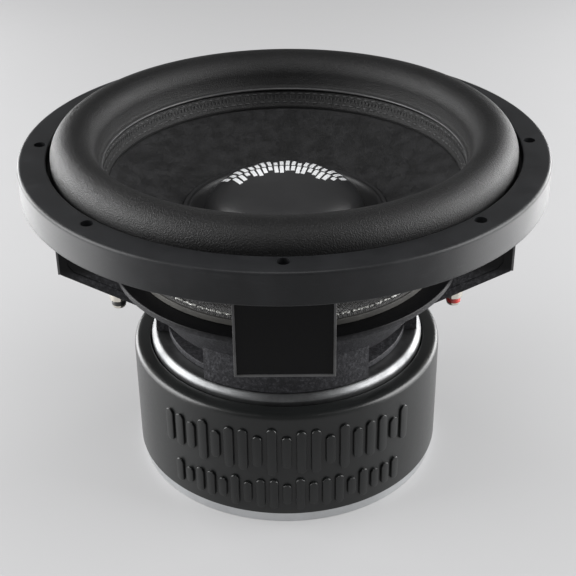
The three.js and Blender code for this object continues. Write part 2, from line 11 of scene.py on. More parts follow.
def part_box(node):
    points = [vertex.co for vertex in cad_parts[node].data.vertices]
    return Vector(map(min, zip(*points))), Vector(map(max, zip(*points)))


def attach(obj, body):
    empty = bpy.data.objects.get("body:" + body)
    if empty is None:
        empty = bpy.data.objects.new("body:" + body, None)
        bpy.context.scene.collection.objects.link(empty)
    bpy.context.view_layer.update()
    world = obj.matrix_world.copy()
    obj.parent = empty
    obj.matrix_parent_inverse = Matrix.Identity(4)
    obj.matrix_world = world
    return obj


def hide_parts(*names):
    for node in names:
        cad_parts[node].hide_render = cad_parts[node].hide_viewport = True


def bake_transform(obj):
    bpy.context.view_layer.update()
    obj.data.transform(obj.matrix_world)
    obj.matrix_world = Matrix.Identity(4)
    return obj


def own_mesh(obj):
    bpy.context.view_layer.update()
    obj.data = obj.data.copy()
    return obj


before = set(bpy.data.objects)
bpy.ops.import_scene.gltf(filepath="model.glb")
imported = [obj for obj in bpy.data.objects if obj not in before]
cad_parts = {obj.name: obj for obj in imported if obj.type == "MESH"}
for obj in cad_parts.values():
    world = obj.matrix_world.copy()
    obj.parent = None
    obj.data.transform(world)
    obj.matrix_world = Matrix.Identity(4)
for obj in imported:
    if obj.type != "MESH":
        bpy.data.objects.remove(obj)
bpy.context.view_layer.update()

bl_info = {
    "name": "Subwoofer Driver",
    "version": (1, 0, 0),
    "blender": (4, 5, 0),
    "location": "View3D > Sidebar > Subwoofer",
    "description": "Builds a deep 12-inch car subwoofer driver and its studio",
    "category": "Object",
}

MM = 0.001
TURN = 2 * math.pi
POSTS = ["right_front", "right_back", "left_front", "left_back"]
FIXED = "chassis"
MOVING = "cone_assembly"


def low_high(node, axis):
    """A frame node's lowest and highest place along one axis, in millimetres."""
    low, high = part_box(node)
    return low[axis] / MM, high[axis] / MM


def extent(node):
    """A frame node's bottom, top and outermost place along X, in millimetres."""
    return (*low_high(node, 2), low_high(node, 0)[1])


# ---------- Places taken from the frame, in millimetres ----------
TRIM_BOTTOM, TRIM_TOP, FRAME_RADIUS = extent("trim_ring")
BASE_BOTTOM, FLANGE_TOP, FLANGE_RADIUS = extent("basket")
PLATE_BOTTOM, PLATE_TOP, PLATE_RADIUS = extent("top_plate")
BOOT_BOTTOM, BOOT_TOP, BOOT_RADIUS = extent("magnet_boot")
MAGNET_RADIUS = extent("magnet_1")[2]
BACK_TOP, BACK_RADIUS = extent("back_plate")[1:]
SPACER_BOTTOM, SPACER_TOP, SPACER_OUTER = extent("spider_spacer")
SPIDER_LOW, SPIDER_HIGH, SPIDER_OUTER = extent("spider")
BAND_BOTTOM, ROLL_CREST, SURROUND_LIP = extent("surround")
CONE_LOW, CONE_RIM_TOP, CONE_RIM = extent("cone")
DUST_CAP_TOP, DUST_CAP_RADIUS = extent("dust_cap")[1:]
FORMER_LOW, NECK_Z, FORMER_OUTER = extent("coil_former")
POLE_TOP, POLE_RADIUS = extent("pole_piece")[1:]
BARREL_BOTTOM, BARREL_TOP = low_high("terminal_barrel_right_front", 2)
PUSH_FOOT, PUSH_TOP = low_high("push_cap_right_front", 2)
BLOCK_TOP = low_high("terminal_block_right", 2)[1]
BLOCK_INNER, BLOCK_OUTER = low_high("terminal_block_right", 0)
TAB_BOTTOM, TAB_TOP = low_high("solder_tab_right_front", 2)
SPRING_LOW, SPRING_TOP = low_high("terminal_spring_right_front", 2)
SCREW_LOW, SCREW_TOP = low_high("basket_screw_1", 2)
LEAD_LOW = low_high("tinsel_lead_right_front", 2)[0]


# ---------- Shader maths ----------
class Signal:
    """One socket of a finish, which sums and multiplies as a number does."""

    def __init__(self, tree, socket):
        self.tree = tree
        self.socket = socket

    def maths(self, operation, *values):
        return make_node(self.tree, "ShaderNodeMath", {"operation": operation}, dict(enumerate(values)))

    def __add__(self, other):
        return self.maths("ADD", self, other)

    def __radd__(self, other):
        return self.maths("ADD", other, self)

    def __sub__(self, other):
        return self.maths("SUBTRACT", self, other)

    def __rsub__(self, other):
        return self.maths("SUBTRACT", other, self)

    def __mul__(self, other):
        return self.maths("MULTIPLY", self, other)

    def sine(self):
        return self.maths("SINE", self)

    def between(self, low, high):
        """0 below low and 1 above high, with a smooth turn."""
        return make_node(self.tree, "ShaderNodeMapRange", {"interpolation_type": "SMOOTHSTEP"},
                         {"Value": self, "From Min": low, "From Max": high})


def make_node(tree, kind, settings=None, inputs=None, output=0):
    """Adds a node, sets it, then fills its sockets with numbers, colours or other nodes' outputs."""
    node = tree.nodes.new(kind)
    for name, value in (settings or {}).items():
        setattr(node, name, value)
    for key, value in (inputs or {}).items():
        if isinstance(value, Signal):
            tree.links.new(value.socket, node.inputs[key])
        else:
            node.inputs[key].default_value = value
    return Signal(tree, node.outputs[output])


class Finish:
    """A material being made: coordinates, patterns and the shader that they feed."""

    def __init__(self, name, **uniform):
        self.material = bpy.data.materials.new(name)
        self.material.use_nodes = True
        self.tree = self.material.node_tree
        self.tree.nodes.clear()
        output = self.tree.nodes.new("ShaderNodeOutputMaterial")
        self.shader = self.tree.nodes.new("ShaderNodeBsdfPrincipled")
        self.tree.links.new(self.shader.outputs[0], output.inputs["Surface"])
        for key, value in uniform.items():
            self.shader.inputs[key.replace("_", " ")].default_value = value
        self.place = self.node("ShaderNodeTexCoord", output="Object")

    def node(self, kind, settings=None, inputs=None, output=0):
        return make_node(self.tree, kind, settings, inputs, output)

    def feed(self, socket, value):
        if isinstance(value, Signal):
            self.tree.links.new(value.socket, self.shader.inputs[socket])
        else:
            self.shader.inputs[socket].default_value = value

    def axes(self):
        """The place on the object along X, Y and Z, in metres."""
        split = self.tree.nodes.new("ShaderNodeSeparateXYZ")
        self.tree.links.new(self.place.socket, split.inputs[0])
        return [Signal(self.tree, output) for output in split.outputs]

    def radius(self):
        x, y, _ = self.axes()
        return self.node("ShaderNodeMath", {"operation": "SQRT"}, {0: x * x + y * y})

    def stretched(self, scale):
        return self.node("ShaderNodeVectorMath", {"operation": "MULTIPLY"}, {0: self.place, 1: scale})

    def noise(self, scale, detail=3, roughness=0.5, vector=None):
        return self.node("ShaderNodeTexNoise", None, {
            "Vector": vector or self.place, "Scale": scale, "Detail": detail, "Roughness": roughness})

    def cells(self, scale):
        return self.node("ShaderNodeTexVoronoi", None, {"Vector": self.place, "Scale": scale})

    def blend(self, factor, first, second):
        return self.node("ShaderNodeMix", {"data_type": "RGBA"}, {
            "Factor": factor, 6: first, 7: second}, output=2)

    def bumps(self, height, depth):
        self.feed("Normal", self.node("ShaderNodeBump", None, {"Height": height, "Distance": depth}))

    def shades(self, factor, shade, low, high):
        """Colours the finish between two strengths of one shade."""
        self.feed("Base Color", self.blend(factor, scaled(shade, low), scaled(shade, high)))


def scaled(shade, factor):
    return (shade[0] * factor, shade[1] * factor, shade[2] * factor, 1)


def moulded(name, shade, roughness, grain, depth, mottle, **uniform):
    """Rubber, plastic or paint: a fine grain, with cloudy changes of colour and sheen."""
    skin = Finish(name, **uniform)
    cloud = skin.noise(38, 5, 0.6)
    fine = skin.noise(grain, 2)
    skin.shades(cloud.between(0.3, 0.7), shade, 1 - mottle, 1 + mottle)
    skin.feed("Roughness", roughness + (cloud - 0.5) * 0.12 + (fine - 0.5) * 0.1)
    skin.bumps(fine, depth)
    return skin


def turned_metal(name, shade, roughness, pitch=2600, depth=0.00001, tarnish=0.8, **uniform):
    """Metal with the faint rings of a lathe and a few cloudy stains."""
    skin = Finish(name, Metallic=1.0, **uniform)
    rings = (skin.radius() * pitch).sine()
    lines = skin.noise(1, 4, 0.7, skin.stretched((900, 900, 5200)))
    stain = skin.noise(24, 5, 0.65)
    skin.shades(stain.between(0.35, 0.75), shade, 1, tarnish)
    skin.feed("Roughness", roughness + (stain - 0.5) * 0.12 + (lines - 0.5) * 0.14)
    skin.bumps(rings * 0.5 + lines, depth)
    return skin


def trim_rubber(sizes):
    """Satin moulded rubber, faintly scuffed along its wall."""
    shade = (*sizes.trim_colour, 1)
    skin = Finish("trim_rubber", Specular_IOR_Level=0.22)
    scuffs = skin.noise(1, 4, 0.75, skin.stretched((60, 60, 420)))
    cloud = skin.noise(38, 5, 0.6)
    fine = skin.noise(1500, 2)
    mark = scuffs.between(0.55, 0.8) * 0.35 + cloud.between(0.35, 0.7) * 0.2
    skin.shades(mark, shade, 0.85, 2.4)
    skin.feed("Roughness", 0.4 + (cloud - 0.5) * 0.16 + (fine - 0.5) * 0.12)
    skin.bumps(fine + scuffs * 0.4, 0.00004)
    return skin


def casting_paint(sizes):
    """Satin black paint, smooth on the arms and sandy lower down, where it is coloured lighter: a sand-cast grain
    with painted sheen.
    """
    shade = (*sizes.casting_colour, 1)
    skin = Finish("black_casting", Specular_IOR_Level=0.12)
    height = skin.axes()[2]
    sand = 1 - height.between((TRIM_BOTTOM - 60) * MM, (TRIM_BOTTOM - 52) * MM)
    pits = skin.cells(640)
    lumps = skin.noise(430, 5, 0.75)
    rough = (lumps * 0.8 + pits * 0.5) * sand + skin.noise(1400, 2) * 0.14
    cloud = skin.noise(46, 4, 0.6)
    # The sandy lower part is coloured lighter, with lighter specks on its lumps: partly its sand-cast grain,
    # partly painted sheen on the bowl.
    sand_grain_and_sheen = skin.blend(lumps.between(0.42, 0.75), scaled(shade, 6), scaled(shade, 20))
    skin.feed("Base Color", skin.blend(sand, scaled(shade, 1), sand_grain_and_sheen))
    skin.feed("Roughness", 0.36 + sand * 0.12 + (cloud - 0.5) * 0.14)
    skin.bumps(rough, 0.00032)
    return skin


def roll_rubber(sizes):
    """Foam skin with a fine open grain that sparkles where the light skims it."""
    shade = (*sizes.roll_colour, 1)
    skin = Finish("roll_foam", Specular_IOR_Level=0.27)
    flow = skin.noise(1, 4, 0.6, skin.stretched((26, 26, 90)))
    grain = skin.noise(1000, 2, 0.65)
    pores = skin.cells(1500)
    tone = flow.between(0.35, 0.7) * 0.45 + grain.between(0.4, 0.7) * 0.55
    skin.shades(tone, shade, 0.6, 1.7)
    skin.feed("Roughness", 0.55 + (flow - 0.5) * 0.1 - grain.between(0.5, 0.75) * 0.14)
    skin.bumps(grain + pores * 0.5, 0.00032)
    return skin


def cone_paper(sizes):
    """Dark pressed pulp, with short fibres and a faint cloudy depth."""
    shade = (*sizes.cone_colour, 1)
    skin = Finish("cone_paper", Specular_IOR_Level=0.3)
    fibres = skin.noise(1, 5, 0.75, skin.stretched((420, 900, 620)))
    crossed = skin.noise(1, 5, 0.75, skin.stretched((980, 380, 560)))
    cloud = skin.noise(105, 6, 0.7)
    pulp = (fibres.between(0.4, 0.68) + crossed.between(0.42, 0.7)) * 0.25
    skin.shades(pulp + cloud.between(0.38, 0.66) * 0.5, shade, 0.5, 2.5)
    skin.feed("Roughness", 0.58 + (cloud - 0.5) * 0.4)
    skin.bumps((fibres + crossed) * 0.5 + cloud * 2, 0.0004)
    return skin


def spider_cloth(sizes):
    """Resin-dipped cotton, woven square, with painted shade in the weave's hollows."""
    skin = Finish("spider_cloth", Sheen_Weight=0.2)
    x, y, _ = skin.axes()
    warp = (x * 3600).sine() * (y * 3600).sine()
    # The weave's hollows are coloured darker: painted shade.
    weave_hollow_shade = warp.between(-0.6, 0.6)
    stain = skin.noise(60, 5, 0.7)
    tone = weave_hollow_shade * 0.7 + stain * 0.3
    skin.feed("Base Color", skin.blend(tone, (0.008, 0.008, 0.009, 1), (0.06, 0.058, 0.056, 1)))
    skin.feed("Roughness", 0.75 + (stain - 0.5) * 0.3)
    skin.bumps(warp + stain * 0.5, 0.0002)
    return skin


def wound_wire(name, shade, pitch, depth):
    """Round wire laid turn on turn up a coil, with painted shade in the grooves between turns."""
    skin = Finish(name, Metallic=1.0)
    turns = (skin.axes()[2] * (TURN / pitch)).sine()
    stain = skin.noise(70, 4, 0.6)
    # The grooves between turns are coloured darker: painted shade.
    skin.shades(turns.between(-0.9, 0.4), shade, 0.35, 1)
    skin.feed("Roughness", 0.32 + (stain - 0.5) * 0.2)
    skin.bumps(turns, depth)
    return skin


def braid(name, shade):
    """Fine wires plaited round a cord, with painted shade where the strands sink."""
    skin = Finish(name, Metallic=0.85)
    x, y, z = skin.axes()
    strands = (x * 5200 + z * 5200).sine() * (y * 5200 - z * 5200).sine()
    # Where the strands sink they are coloured darker: painted shade.
    skin.shades(strands.between(-0.5, 0.4), shade, 0.3, 1)
    skin.feed("Roughness", 0.42 + skin.noise(300) * 0.15)
    skin.bumps(strands, 0.0002)
    return skin


def make_finishes(sizes):
    """Every finish by its material slot."""
    zinc = (0.56, 0.57, 0.58, 1)
    made = [
        trim_rubber(sizes), casting_paint(sizes), roll_rubber(sizes), cone_paper(sizes), spider_cloth(sizes),
        turned_metal("zinc_plate", zinc, 0.36),
        # The top plate's zinc, drawn much darker than the back plate's.
        turned_metal("dark_zinc", scaled(zinc, 0.36), 0.42, 2600, 0.00002, 0.35),
        turned_metal("turned_steel", (0.42, 0.43, 0.44, 1), 0.32, 3400, 0.00002),
        turned_metal("bare_aluminium", (0.78, 0.79, 0.80, 1), 0.3, 3000, 0.00002),
        turned_metal("nickel", (0.80, 0.76, 0.68, 1), 0.18, 5200, 0.000008),
        turned_metal("spring_steel", (0.55, 0.56, 0.57, 1), 0.28, 7000, 0.000008),
        turned_metal("brass_tab", (0.78, 0.58, 0.26, 1), 0.3, 900, 0.00001),
        turned_metal("black_oxide", (0.035, 0.036, 0.038, 1), 0.38, 5200, 0.00002),
        moulded("boot_rubber", (*sizes.boot_colour, 1), 0.34, 800, 0.00002, 0.14, Specular_IOR_Level=0.35,
                Coat_Weight=0.08, Coat_Roughness=0.25),
        moulded("ferrite", (0.028, 0.029, 0.031, 1), 0.62, 500, 0.00015, 0.3),
        moulded("spacer_board", (0.05, 0.048, 0.044, 1), 0.72, 700, 0.00012, 0.35),
        moulded("terminal_plastic", (0.012, 0.012, 0.013, 1), 0.42, 1200, 0.00005, 0.2),
        moulded("red_cap", (0.38, 0.018, 0.014, 1), 0.34, 1400, 0.00002, 0.12, Coat_Weight=0.3),
        moulded("black_cap", (0.012, 0.012, 0.012, 1), 0.34, 1400, 0.00002, 0.2, Coat_Weight=0.3),
        moulded("dome_skin", (0.02, 0.02, 0.021, 1), 0.38, 700, 0.00004, 0.12, Coat_Weight=0.1,
                Coat_Roughness=0.35),
        # A pale rubber for the ring on the band's bead: a painted highlight line along the band's top edge.
        moulded("painted_band_highlight", (0.042, 0.042, 0.043, 1), 0.36, 1600, 0.00003, 0.3, Specular_IOR_Level=0.6),
        # A lighter paint for the arms' ribs: a painted highlight along their edges.
        moulded("painted_rib_highlight", (0.045, 0.045, 0.046, 1), 0.34, 1400, 0.00003, 0.4, Specular_IOR_Level=0.6),
        moulded("white_ink", (0.72, 0.73, 0.74, 1), 0.48, 1500, 0.00002, 0.1),
        moulded("white_glue", (0.42, 0.42, 0.40, 1), 0.3, 420, 0.0002, 0.12, Coat_Weight=0.3),
        moulded("seam_thread", (0.03, 0.03, 0.031, 1), 0.6, 3000, 0.00005, 0.25),
        wound_wire("copper_wire", (0.72, 0.32, 0.14, 1), 0.0009, 0.0003),
        braid("tinsel_braid", (0.75, 0.70, 0.62, 1)),
    ]
    return {skin.material.name: skin.material for skin in made}


# ---------- Shaping ----------
def rounded(points, steps=5):
    """A section's corners, each (radius, height) or (radius, height, round), with the rounds cut in."""
    section = []
    for i, point in enumerate(points):
        corner = Vector(point[:2])
        reach = point[2] if len(point) > 2 else 0
        if not reach:
            section.append(corner)
            continue
        before = Vector(points[i - 1][:2]) - corner
        after = Vector(points[(i + 1) % len(points)][:2]) - corner
        start = corner + before.normalized() * min(reach, 0.49 * before.length)
        end = corner + after.normalized() * min(reach, 0.49 * after.length)
        for step in range(steps + 1):
            t = step / steps
            section.append(start * (1 - t) ** 2 + corner * 2 * t * (1 - t) + end * t ** 2)
    return section


def arc(centre, height, radius, start, end, steps=24):
    """Points round part of a circle in a section, in degrees from the outward direction."""
    turns = [math.radians(start + (end - start) * i / steps) for i in range(steps + 1)]
    return [(centre + radius * math.cos(a), height + radius * math.sin(a)) for a in turns]


def ring_section(inner, outer, low, high, rounds, steps=5):
    """A ring's section, its corners rounded in turn: inner foot, outer foot, outer top, inner top."""
    corners = [(inner, low), (outer, low), (outer, high), (inner, high)]
    return rounded([(*corner, reach) for corner, reach in zip(corners, rounds)], steps)


def corner_at(bm, radius, angle, height, at=(0, 0)):
    """A corner placed round the Z axis, or round an upright line through another place."""
    return bm.verts.new((
        (at[0] + radius * math.cos(angle)) * MM, (at[1] + radius * math.sin(angle)) * MM, height * MM))


def bridge(bm, rings):
    """Skins a row of equal rings of corners and closes both ends."""
    count = len(rings[0])
    for here, there in zip(rings, rings[1:]):
        for k in range(count):
            m = (k + 1) % count
            bm.faces.new((here[k], here[m], there[m], there[k]))
    bm.faces.new(list(reversed(rings[0])))
    bm.faces.new(rings[-1])


def turn(bm, section, segments=192, bearings=None, at=(0, 0)):
    """Turns a section round an upright line. bearings(radius) gives a part turn's first and last angle."""
    columns = segments if bearings is None else segments + 1
    on_axis = [abs(point[0]) < 1e-6 for point in section]
    grid = []
    for column in range(columns):
        row = []
        for i, (radius, height) in enumerate(section):
            if on_axis[i] and column:
                row.append(grid[0][i])
                continue
            first, last = bearings(radius) if bearings else (0, TURN)
            angle = first + (last - first) * column / segments
            row.append(corner_at(bm, radius, angle, height, at))
        grid.append(row)
    count = len(section)
    steps = count - 1 if on_axis[0] and on_axis[-1] else count
    for column in range(segments):
        here, there = grid[column], grid[(column + 1) % columns]
        for i in range(steps):
            j = (i + 1) % count
            corners = []
            for vertex in (here[i], there[i], there[j], here[j]):
                if vertex not in corners:
                    corners.append(vertex)
            if len(corners) > 2:
                bm.faces.new(corners)
    if bearings:
        bm.faces.new(grid[0])
        bm.faces.new(list(reversed(grid[-1])))


def prism(bm, outline, low, high, round_edges=0.0, degrees=0):
    """A plate cut to (x, z) points between two places along Y, then turned about Z."""
    sides = [[bm.verts.new((x * MM, y * MM, z * MM)) for x, z in outline] for y in (low, high)]
    faces = [bm.faces.new(sides[0]), bm.faces.new(list(reversed(sides[1])))]
    for i in range(len(outline)):
        j = (i + 1) % len(outline)
        faces.append(bm.faces.new((sides[0][j], sides[0][i], sides[1][i], sides[1][j])))
    bmesh.ops.recalc_face_normals(bm, faces=faces)
    parts = {part for face in faces for part in (*face.verts, *face.edges, face)}
    if round_edges:
        edges = [part for part in parts
                 if isinstance(part, bmesh.types.BMEdge) and part.calc_face_angle(0) > 0.3]
        made = bmesh.ops.bevel(bm, geom=edges, offset=round_edges * MM, segments=2, profile=0.6,
                               affect="EDGES")
        parts = {part for part in parts if part.is_valid} | set(made["faces"]) | set(made["verts"])
    spin(bm, [part for part in parts if isinstance(part, bmesh.types.BMVert)], degrees)


def spin(bm, vertices, degrees):
    matrix = Matrix.Rotation(math.radians(degrees), 3, "Z")
    bmesh.ops.rotate(bm, verts=vertices, cent=(0, 0, 0), matrix=matrix)


def block(bm, x0, x1, y0, y1, z0, z1, round_edges=0.4, degrees=0):
    prism(bm, [(x0, z0), (x1, z0), (x1, z1), (x0, z1)], y0, y1, round_edges, degrees)


def sweep(bm, path, radius, sides):
    """A round cord along a path of points, closed at both ends."""
    points = [Vector(point) * MM for point in path]
    angles = [TURN * k / sides for k in range(sides)]
    side = None
    rings = []
    for i, point in enumerate(points):
        along = (points[min(i + 1, len(points) - 1)] - points[max(i - 1, 0)]).normalized()
        side = along.orthogonal() if side is None else side - along * side.dot(along)
        side = side.normalized()
        other = along.cross(side)
        rings.append([bm.verts.new(point + (side * math.cos(a) + other * math.sin(a)) * radius * MM)
                      for a in angles])
    bridge(bm, rings)


def smooth_path(stops, steps=8):
    """A smooth line through every stop."""
    points = [Vector(stop) for stop in stops]
    line = []
    for i in range(len(points) - 1):
        a, b, c, d = (points[min(max(k, 0), len(points) - 1)] for k in range(i - 1, i + 3))
        for step in range(steps):
            t = step / steps
            line.append(0.5 * (2 * b + (c - a) * t + (2 * a - 5 * b + 4 * c - d) * t ** 2
                               + (3 * b - a - 3 * c + d) * t ** 3))
    return [*line, points[-1]]


def add_object(name, data):
    """Makes an object from its data and puts it in the scene."""
    made = bpy.data.objects.new(name, data)
    bpy.context.scene.collection.objects.link(made)
    return made


def settle(piece):
    """Fixes a piece's modifiers into its mesh."""
    graph = bpy.context.evaluated_depsgraph_get()
    mesh = bpy.data.meshes.new_from_object(piece.evaluated_get(graph))
    piece.modifiers.clear()
    piece.data = mesh


def cut(piece, cutter):
    """Cuts a shape out of a piece."""
    mesh = bpy.data.meshes.new("cutter")
    bmesh.ops.recalc_face_normals(cutter, faces=cutter.faces)
    cutter.to_mesh(mesh)
    cutter.free()
    tool = add_object("cutter", mesh)
    cutting = piece.modifiers.new("cut", "BOOLEAN")
    cutting.object = tool
    cutting.operation = "DIFFERENCE"
    cutting.solver = "EXACT"
    settle(piece)
    bpy.data.objects.remove(tool)


def make_piece(name, bm, finish, body=FIXED, stands_for=(), crease=40, holes=None, flats=False):
    """Makes a visible piece from a mesh, which rides on a body and stands for some frame nodes."""
    bmesh.ops.recalc_face_normals(bm, faces=bm.faces)
    mesh = bpy.data.meshes.new(name)
    bm.to_mesh(mesh)
    bm.free()
    piece = add_object(name, mesh)
    if holes:
        cut(piece, holes)
    piece.data.shade_smooth()
    piece.data.set_sharp_from_angle(angle=math.radians(crease))
    if flats:
        evening = piece.modifiers.new("flats", "WEIGHTED_NORMAL")
        evening.keep_sharp = True
        settle(piece)
    piece.data.name = name
    piece.data.materials.clear()
    piece.data.materials.append(bpy.data.materials[finish])
    if body:
        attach(piece, body)
    if stands_for:
        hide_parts(*stands_for)
    return piece


def turned_piece(name, section, finish, body=FIXED, stands_for=None, segments=192, at=(0, 0), **settings):
    """A piece made of one turned section, standing for the node of its own name unless told otherwise."""
    bm = bmesh.new()
    turn(bm, section, segments, at=at)
    return make_piece(name, bm, finish, body, [name] if stands_for is None else stands_for, **settings)


def flex(piece, outer, inner):
    """Bakes a piece's place into its mesh, and works out how much each corner would go with the cone between an
    outer and an inner radius, without keeping it.
    """
    outer * MM
    inner * MM
    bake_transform(piece)
    for vertex in piece.data.vertices:
        share = min(max((outer - vertex.co.xy.length / MM) / (outer - inner), 0), 1)
        share * share * (3 - 2 * share)


def rods(places, radius, low, high, sides=32):
    """Upright rods to cut holes with."""
    bm = bmesh.new()
    for x, y in places:
        made = bmesh.ops.create_cone(bm, cap_ends=True, segments=sides, radius1=radius * MM,
                                     radius2=radius * MM, depth=(high - low) * MM)
        bmesh.ops.translate(bm, verts=made["verts"], vec=Vector((x, y, (low + high) / 2)) * MM)
    return bm


def rod_across(place, radius, length, sides):
    """A rod lying along X to cut a hole with."""
    bm = bmesh.new()
    made = bmesh.ops.create_cone(bm, cap_ends=True, segments=sides, radius1=radius * MM, radius2=radius * MM,
                                 depth=length * MM)
    bmesh.ops.rotate(bm, verts=made["verts"], cent=(0, 0, 0), matrix=Matrix.Rotation(math.pi / 2, 3, "Y"))
    bmesh.ops.translate(bm, verts=made["verts"], vec=Vector(place) * MM)
    return bm


def on_circle(radius, degrees):
    angle = math.radians(degrees)
    return radius * math.cos(angle), radius * math.sin(angle)


# ---------- Sizes of the dressed pieces, in millimetres ----------
GAP = 0.3
TRIM_BORE = FRAME_RADIUS - 17
TRIM_SEAM = 144.55
TRIM_SHELF = 207.5
LIP_LEVEL = 205.0
BOLT_CIRCLE = FRAME_RADIUS - 11.5
BOLT_HOLE = 3.65
BOLT_PLACES = [on_circle(BOLT_CIRCLE, 90 + 45 * i) for i in range(8)]
FLANGE_BORE = TRIM_BORE - 12
ROLL_FOOT = TRIM_BORE - 2.5
ROLL_RADIUS = 13.5
ROLL_CENTRE = ROLL_FOOT - ROLL_RADIUS
ROLL_Z = ROLL_CREST - ROLL_RADIUS
ROLL_SKIN = 2.4
BAND_TOP = BAND_BOTTOM + 12
BAND_TOP_RADIUS = CONE_RIM
BAND_FOOT_RADIUS = CONE_RIM - 3.5
ARM_FACE = TRIM_BORE - 3
ARM_HALF = 27.5
ARM_WALL = 6
ARM_SLOPE = 0.487
ARM_DROP = 17.84
ARM_RISE = ARM_WALL * math.hypot(1, ARM_SLOPE)
ARM_BACK = ARM_FACE - ARM_WALL
ARM_TOP = TRIM_BOTTOM + 2
LEDGE_RADIUS = 108.5
LEDGE_TOP = SPACER_BOTTOM - GAP
LEDGE_INNER = 88
BOWL_FOOT = 79.9
BOWL_HEAD = 104
BOWL_FLOOR = BASE_BOTTOM + 16.3
BOWL_WALL = 3.5
BASE_OUTER = BOWL_FOOT - 2.4
BASE_INNER = BASE_OUTER - 17.6
FOOT_RADIUS = PLATE_RADIUS - 3.2
SCREW_CIRCLE = (BASE_OUTER + BASE_INNER) / 2
SCREW_BEARINGS = [0, 60, 90, 120, 180, 240, 270, 300]
NECK_RADIUS = FORMER_OUTER + GAP
CONE_FALL = (CONE_RIM_TOP - NECK_Z) / (BAND_FOOT_RADIUS - NECK_RADIUS)
DOME_RADIUS = 50.5
DOME_HEIGHT = 27
DOME_BASE = DUST_CAP_TOP - DOME_HEIGHT
POST_X = LEDGE_RADIUS - 1.5
POST_Y = 13
CORE_RADIUS = 25
CORE_TOP = 16.3
VENT_RADIUS = 14
VENT_MOUTH = 19
BACK_STEP = 7
PLATE_BORE = 42.1
PLATE_BEVEL = 3
MAGNET_BORE = 50.1
RING_BORE = 44.8
RING_RADIUS = 49.8
FORMER_WALL = 0.8
COIL_THICK = 3
SCREW_SHANK = 3
SCREW_HEAD = 5
SOCKET_RADIUS = 2.9
SOCKET_DEPTH = 3
BLOCK_HALF = 20.5
BOSS_RADIUS = 6.4
BASE_THICK = 3.9
CONE_SKIN = 1.8
DOME_SKIN = 1.4
BARREL_RADIUS = 5.7
BARREL_BORE = 5.1
BARREL_LIP_BORE = 4.7
PUSH_RADIUS = 4.45
PUSH_SHOULDER = 4.9
LEAD_RADIUS = 1.1
BOLT_CUT = 2
# The camera's pitch, yaw and roll in degrees, its place in metres and its lens in millimetres.
CAMERA_TURN = (30.3, -0.36, 0.68)
CAMERA_PLACE = (0.0056, -0.6877, 0.5135)
CAMERA_LENS = 76.7
FLOOR_HALF = 30


def cone_face(radius):
    return NECK_Z + (radius - NECK_RADIUS) * CONE_FALL


def dome_height(x, y):
    return DOME_BASE + DOME_HEIGHT * math.sqrt(max(0, 1 - (x * x + y * y) / DOME_RADIUS ** 2))


# ---------- Motor ----------
def make_motor():
    bore = CORE_RADIUS + GAP
    turned_piece("back_plate", rounded([
        (bore, 0), (BACK_RADIUS, 0, 1.2), (BACK_RADIUS, BACK_STEP, 0.5), (MAGNET_RADIUS, BACK_STEP, 0.4),
        (MAGNET_RADIUS, BACK_TOP, 0.6), (bore, BACK_TOP, 0.6)]), "zinc_plate", flats=True)
    turned_piece("pole_piece", rounded([
        (VENT_MOUTH, 0.5, 1), (CORE_RADIUS, 0.5, 0.4), (CORE_RADIUS, CORE_TOP), (POLE_RADIUS, CORE_TOP),
        (POLE_RADIUS, POLE_TOP, 1.5), (VENT_RADIUS, POLE_TOP, 1), (VENT_RADIUS, CORE_TOP, 8)]),
        "turned_steel", flats=True)
    rings = [(f"magnet_{number}", MAGNET_BORE, MAGNET_RADIUS, (1, 1.5, 1.5, 1), "ferrite")
             for number in (1, 2, 3)]
    rings.append(("shorting_ring", RING_BORE, RING_RADIUS, (0.6, 0.6, 0.8, 0.8), "bare_aluminium"))
    for name, inner, outer, rounds, finish in rings:
        low, high = low_high(name, 2)
        turned_piece(name, ring_section(inner, outer, low, high, rounds), finish)
    turned_piece("top_plate", rounded([
        (PLATE_BORE, PLATE_BOTTOM, 0.6), (PLATE_RADIUS, PLATE_BOTTOM, 0.9),
        (PLATE_RADIUS, PLATE_TOP - PLATE_BEVEL, 1.4), (PLATE_RADIUS - PLATE_BEVEL, PLATE_TOP, 1.4),
        (PLATE_BORE, PLATE_TOP, 0.8)], 4), "dark_zinc", flats=True, segments=256)


def make_boot(sizes):
    """The rubber boot round the magnets, with two raised rows of level bars on its front."""
    lip = PLATE_RADIUS + 1.2
    inner = MAGNET_RADIUS + GAP
    seat = PLATE_BOTTOM + GAP
    turned_piece("magnet_boot", rounded([
        (inner, BOOT_BOTTOM, 0.4), (BOOT_RADIUS, BOOT_BOTTOM, 1), (BOOT_RADIUS, BOOT_TOP, 4.4),
        (lip, BOOT_TOP, 0.8), (lip, seat, 0.4), (inner, seat)], 8), "boot_rubber", segments=256)
    bm = bmesh.new()
    bars = sizes.relief_bars
    for middle, spread, tallest in ((55.5, 46, 17.5), (23.5, 42, 12.0)):
        for i in range(bars):
            share = 2 * i / (bars - 1) - 1
            swell = 0.72 + 0.28 * math.cos(share * math.pi / 2)
            tall = tallest * swell * (0.5 + 0.5 * abs(math.sin(i * 1.9 + middle)))
            relief_bar(bm, math.radians(270 + share * spread), math.radians(0.36 * 2 * spread / bars),
                       middle - tall, middle + tall, sizes.relief_height / MM)
    make_piece("boot_relief", bm, "boot_rubber", crease=30)


def relief_bar(bm, bearing, half_turn, low, high, proud):
    """One upright bar with round ends, raised from the boot's wall."""
    end = half_turn * BOOT_RADIUS
    rings = []
    for shrink, rise in ((0, -0.4), (0, proud * 0.72), (0.08, proud * 0.94), (0.2, proud)):
        loop = []
        for k in range(24):
            a = TURN * k / 24
            centre = high - end if math.sin(a) >= 0 else low + end
            height = centre + math.sin(a) * end * (1 - shrink)
            angle = bearing + math.cos(a) * half_turn * (1 - shrink)
            loop.append(corner_at(bm, BOOT_RADIUS + rise, angle, height))
        rings.append(loop)
    bridge(bm, rings)


